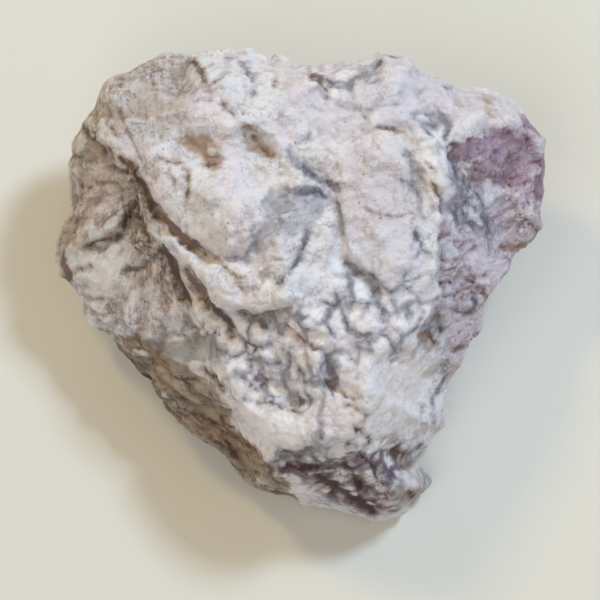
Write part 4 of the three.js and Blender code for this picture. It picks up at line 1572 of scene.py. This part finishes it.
# A zone's tint: colour, share on the crests, share in the hollows.
ZONE_STAINS_AND_SHADES = {
    # partly painted shade over the back edge and the tablet
    "blush_and_shade": (paint(222, 206, 210), 0.45, 0.5),
    # partly a stain, partly painted warm shade on the left flank
    "tan": (paint(196, 179, 167), 0.25, 0.85),
    # painted cool shade on the right flank
    "mauve_shade": (paint(220, 204, 216), 0.55, 0.85),
    "slate": (paint(160, 160, 170), 0.45, 0.85),
    # painted shade on the lower left wall
    "umber_shade": (paint(164, 147, 127), 0.80, 1.0),
    # painted shade over the front tip, partly a stain
    "plum_shade": (paint(120, 94, 108), 0.45, 1.0),
    # painted shade on the corner block's front face
    "purple_shade": (PURPLE_SHADE, 0.55, 1.0),
    "crystal": (paint(156, 157, 160), 0.6, 0.95),
}
ZONE_BORDER = (0.25, 0.75)
fray = (coat.noise(where, 2.0, detail=6.0, rough=0.68) - 0.5) * 3.2
low = coat.fade(rise_here + 0.22 * fine_height, 0.22, -0.30)
for name, (tint, crest, hollow) in ZONE_STAINS_AND_SHADES.items():
    share = coat.fade(mark(name) + 0.30 * fray, *ZONE_BORDER)
    colour = blend(colour, tint, share * (crest + (hollow - crest) * low))
tell("zones")

# %% [markdown]
# ## Ridges, streaks and the shaded wall
# The fan of ridges, the streaks on the mauve side and the cracks of the lower left wall are in
# the relief already. The same patterns colour them here, so that colour and shape agree:
# brown and maroon in the furrows, partly stain and partly painted shade, and near white and
# pink on the ridges as a painted highlight. The cracks and mottle of the lower left wall are
# painted dark as shade. The slate patch gets streaks of its own, and the clean patches a coat
# of brighter white, which is partly a painted highlight.

# %% Ridges, streaks and the shaded wall
# white of the nodules, and a painted highlight on the combed ridges and clean patches
CLEAN_WHITE_AND_HIGHLIGHT = paint(253, 247, 247)
FAN_BROWN = paint(140, 112, 98)
# painted shade in the low streaks of the right flank and the corner block
MAROON_SHADE = paint(124, 78, 96)
VEIN_DARK = paint(82, 77, 88)
# painted shade for hollows, the lower left wall's cracks and the pinholes
HOLLOW_SHADE_DARK = paint(68, 50, 44)
fan_low = coat.fade(coat.fan(where) + 0.1 * fine_height, 0.06, -0.16)
fan_zone = 0.65 * mark("tan") + 0.65 * mark("combed")
fan_high = coat.fade(coat.fan(where), 0.0, 0.16)
# painted shade in the fan's furrows over a brown stain, and a painted highlight on its ridges
colour = blend(colour, FAN_BROWN, fan_low * fan_zone)
colour = blend(colour, CLEAN_WHITE_AND_HIGHLIGHT, fan_high * mark("combed") * 0.75)

streaks = coat.streaks(where) + 0.1 * fine_height
purplish = mark("mauve_shade") + mark("purple_shade")
# painted shade in the low streaks of the right flank and corner block, a painted highlight on
# the high ones
colour = blend(colour, PURPLE_SHADE, coat.fade(streaks, 0.02, -0.16) * purplish * 0.5)
colour = blend(colour, MAROON_SHADE, coat.fade(streaks, -0.08, -0.22) * purplish * 0.55)
colour = blend(colour, PINK_CHALK, coat.fade(streaks, 0.08, 0.22) * purplish * 0.45)
slate_grain = coat.streaks(coat.moved(where, (9.0, 2.0, 5.0)))
colour = blend(colour, VEIN_DARK, coat.fade(slate_grain, 0.0, -0.2) * mark("slate") * 0.5)

# The lower left wall's cracks and mottle are painted dark as shade.
wall_cracks = coat.wall_cracks(where) * mark("umber_shade")
wall_shade_mottle = coat.fade(mottle + 0.3 * fine_height, 0.50, 0.36) * mark("umber_shade")
colour = blend(colour, HOLLOW_SHADE_DARK, wall_cracks * 0.7)
colour = blend(colour, HOLLOW_SHADE_DARK, wall_shade_mottle * 0.3)
# brighter white on the clean patches, partly a painted highlight
colour = blend(colour, CLEAN_WHITE_AND_HIGHLIGHT, clean_and_lit_here * (0.45 + 0.6 * mottle))
tell("streaks")

# %% [markdown]
# ## Net of veins
# Between the drawn veins runs a finer net, which would be far too much to draw. It follows
# the same cells as the nodules of the relief, bent the same way, so every thread lies in a
# furrow. A wide grey halo comes first and a narrow dark core after it, and a slow noise
# leaves the net out in places.

# %% Net of veins
VEIN_GREY = paint(152, 150, 160)
# Share of a cell from its edge, where a coat begins and where it is full.
NODULE_WHITE = (0.06, 0.24)
NET_HALO = (0.20, 0.02)
SMALL_HALO = (0.14, 0.02)
NET_CORE = (0.07, 0.0)
net_edge = coat.cells(bent_place, NODULE_SIZE)
small_edge = coat.cells(bent_place, SMALL_NODULE_SIZE)
patch_noise = coat.noise(coat.moved(where, (3.0, 17.0, 5.0)), 3.6, detail=4.0)
patchy = coat.fade(patch_noise, 0.36, 0.58)
net_share = (netted_here * 0.95 + mark("below") * 0.5 + 0.08) * patchy
ragged = 0.07 * fray
ragged_edge = net_edge + ragged
crystal_here = mark("crystal")
white_share = netted_here * (0.8 - 0.65 * crystal_here)
halo = coat.fade(ragged_edge, *NET_HALO) * net_share
small_halo = coat.fade(small_edge + ragged, *SMALL_HALO) * net_share
vein_tone = coat.fade(coat.noise(where, 1.8, detail=4.0) + 0.05 * fine_height, 0.42, 0.62)
net_core = coat.fade(ragged_edge, *NET_CORE) * net_share * (0.2 + 0.6 * vein_tone)
colour = blend(colour, CLEAN_WHITE_AND_HIGHLIGHT, coat.fade(net_edge, *NODULE_WHITE) * white_share)
colour = blend(colour, VEIN_GREY, halo * 0.75)
colour = blend(colour, VEIN_GREY, small_halo * 0.25)
colour = blend(colour, VEIN_DARK, net_core)
tell("net")

# %% [markdown]
# ## Pinholes
# Chalky stone has tiny holes where grains fell out. Each is the middle of a cell, and only
# some places have them. They are painted dark as the shade inside a hole.

# %% Pinholes
PIN_SIZE = 0.85
pin_places = coat.fade(coat.noise(where, 4.0), 0.55, 0.66)
pins = coat.fade(coat.cells(fine_bent, PIN_SIZE, "F1"), 0.20, 0.08) * pin_places
# painted shade inside the pinholes
colour = blend(colour, HOLLOW_SHADE_DARK, pins * 0.5)
tell("pinholes")

# %% [markdown]
# ## Drawn veins, cracks, stains and hollows
# The marks hold the distance to each line's edge. Noise is added to the distance before it
# is faded, so the border frays and the line grows thick and thin, or breaks off, as a real
# vein does. Each line has a soft, pale border and a darker core.

# %% Drawn lines
# a brown for the stained cracks and for painted shade in the hollows
STAIN_AND_SHADE_BROWN = paint(148, 120, 100)
CRACK_DARK = paint(98, 68, 56)
OCHRE = paint(164, 128, 94)
# Distance from a line's edge in mm, where a coat begins and where it is full.
VEIN_BORDER, VEIN_CORE = (0.62, -0.16), (0.10, -0.26)
CRACK_BORDER, CRACK_CORE = (0.50, -0.05), (0.04, -0.22)
HOLLOW_BORDER, HOLLOW_CORE = (0.50, -0.1), (0.05, -0.38)
OCHRE_BORDER = (0.8, -0.4)
frayed = fray * 0.20 + 0.9 * (chatter - 0.5) + 0.08 * fine_height
thin = (0.56 - coat.noise(where, 2.2, detail=4.0)) * 1.5
grey_line = mark("grey_line") + frayed + thin
brown_line = mark("brown_line") + frayed + 0.7 * thin
hollow_shade_line = mark("hollow_shade_line") + frayed + 0.5 * thin
ochre_line = mark("ochre_line") + frayed * 1.5
grey_share = coat.fade(grey_line, *VEIN_BORDER)
grey_core = coat.fade(grey_line, *VEIN_CORE) * (0.3 + 0.5 * vein_tone)
for coat_colour, share in (
    (VEIN_GREY, grey_share * 0.62),
    (VEIN_DARK, grey_core),
    (OCHRE, coat.fade(ochre_line, *OCHRE_BORDER) * 0.78),
    (STAIN_AND_SHADE_BROWN, coat.fade(brown_line, *CRACK_BORDER) * 0.45),
    (CRACK_DARK, coat.fade(brown_line, *CRACK_CORE) * 0.75),
    # the shaded hollows: painted shade, a brown border and a dark core
    (STAIN_AND_SHADE_BROWN, coat.fade(hollow_shade_line, *HOLLOW_BORDER) * 0.5),
    (HOLLOW_SHADE_DARK, coat.fade(hollow_shade_line, *HOLLOW_CORE) * 0.85),
):
    colour = blend(colour, coat_colour, share)
tell("lines")

# %% [markdown]
# ## The plum hollow
# The hollow over the front tip is the darkest part of the stone: dark clouds of painted shade
# over a plum tint that is partly a stain, with a few pale nodules left standing in it. A
# random number for each cell picks which.

# %% Plum hollow
PLUM_SHADE_DARK = paint(66, 48, 60)
plum_shade_here = mark("plum_shade")
plum_shade_cloud = coat.fade(mottle + 0.25 * ragged, 0.56, 0.40)
nodule_reach = coat.cells(bent_place, SMALL_NODULE_SIZE, "F1") + 0.10 * fray
picked = coat.fade(coat.lots(bent_place, SMALL_NODULE_SIZE), 0.45, 0.65)
nodule = coat.fade(nodule_reach, 0.44, 0.14) * picked
# painted shade: dark clouds over the front tip
colour = blend(colour, PLUM_SHADE_DARK, plum_shade_cloud * plum_shade_here * 0.7)
colour = blend(colour, PINK_CHALK, nodule * plum_shade_here * 0.85)
tell("plum hollow")

# %% [markdown]
# ## Painted shade in the hollows, painted highlight on the crests
# The hollows are painted a little browner as shade, and the crests a little paler as a painted
# highlight. The marks for narrow and wide hollows, the relief and the crumbs together say how
# deep a place lies. The net gets little painted shade, because its veins are dark enough.

# %% Painted shade in hollows, highlight on crests
CREST_HIGHLIGHT_WHITE = paint(244, 240, 238)
deep = (mark("hollow") + 0.2 * mark("wide_hollow") - 1.4 * rise_here + 0.35 * fray
        - 0.25 * fine_height)
hollow_shade_share = 0.36 - 0.24 * netted_here
# painted shade in the hollows, then a painted highlight on the crests
colour = blend(colour, STAIN_AND_SHADE_BROWN, coat.fade(deep, 0.45, 1.7) * hollow_shade_share)
colour = blend(colour, CREST_HIGHLIGHT_WHITE, coat.fade(deep, -0.35, -1.3) * 0.5)
tell("hollow_shade")

# %% [markdown]
# ## Dullness and bump
# Chalk is dull. The veins are a little harder and shine a little more, and in the crystal
# patch some cells are smooth enough to glint. The crumbs and pinholes go into a Bump node,
# which tilts the light on the surface without moving it.

# %% Dullness and bump
DULL = 0.86
GLINT_SIZE = 0.5
HOWLITE_IOR = 1.59
SPECULAR = 0.35
glint = coat.fade(coat.lots(where, GLINT_SIZE), 0.80, 0.88)
dull = DULL - 0.18 * grey_share - 0.55 * (crystal_here * glint)
bumped = coat.value("ShaderNodeBump", (), {
    "Strength": 1.0, "Distance": MM, "Height": 0.30 * fine_height - 0.08 * pins})
shader = coat.value("ShaderNodeBsdfPrincipled", (), {
    "Base Color": colour, "Roughness": dull, "Normal": bumped, "IOR": HOWLITE_IOR,
    "Specular IOR Level": SPECULAR,
})
coat.node("ShaderNodeOutputMaterial", (), {"Surface": shader})
print("finish nodes:", len(finish.node_tree.nodes))

# %% [markdown]
# ## Relief applied
# The tree runs as a modifier. Its inputs are set by their sockets' identifiers, since a
# modifier doesn't know them by name. The result is copied into a plain mesh, because the
# export keeps meshes and drops modifiers, and the modifier is removed.

# %% Apply the relief
given_values = {**RELIEF_HEIGHTS, "Seed": 4.0, "Finish": finish}
modifier = stone_piece.modifiers.new("relief", "NODES")
modifier.node_group = relief_tree
for socket in interface.items_tree:
    if socket.in_out == "INPUT" and socket.name in given_values:
        modifier[socket.identifier] = given_values[socket.name]
ready = stone_piece.evaluated_get(bpy.context.evaluated_depsgraph_get())
carved = bpy.data.meshes.new_from_object(ready)
stone_piece.modifiers.remove(modifier)
stone_piece.data = carved
carved.name = "howlite_stone"
print("triangles:", len(carved.polygons), "materials:", [m.name for m in carved.materials])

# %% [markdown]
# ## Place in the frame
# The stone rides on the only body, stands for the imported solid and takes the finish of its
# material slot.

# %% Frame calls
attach(stone_piece, "root")
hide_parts("howlite")
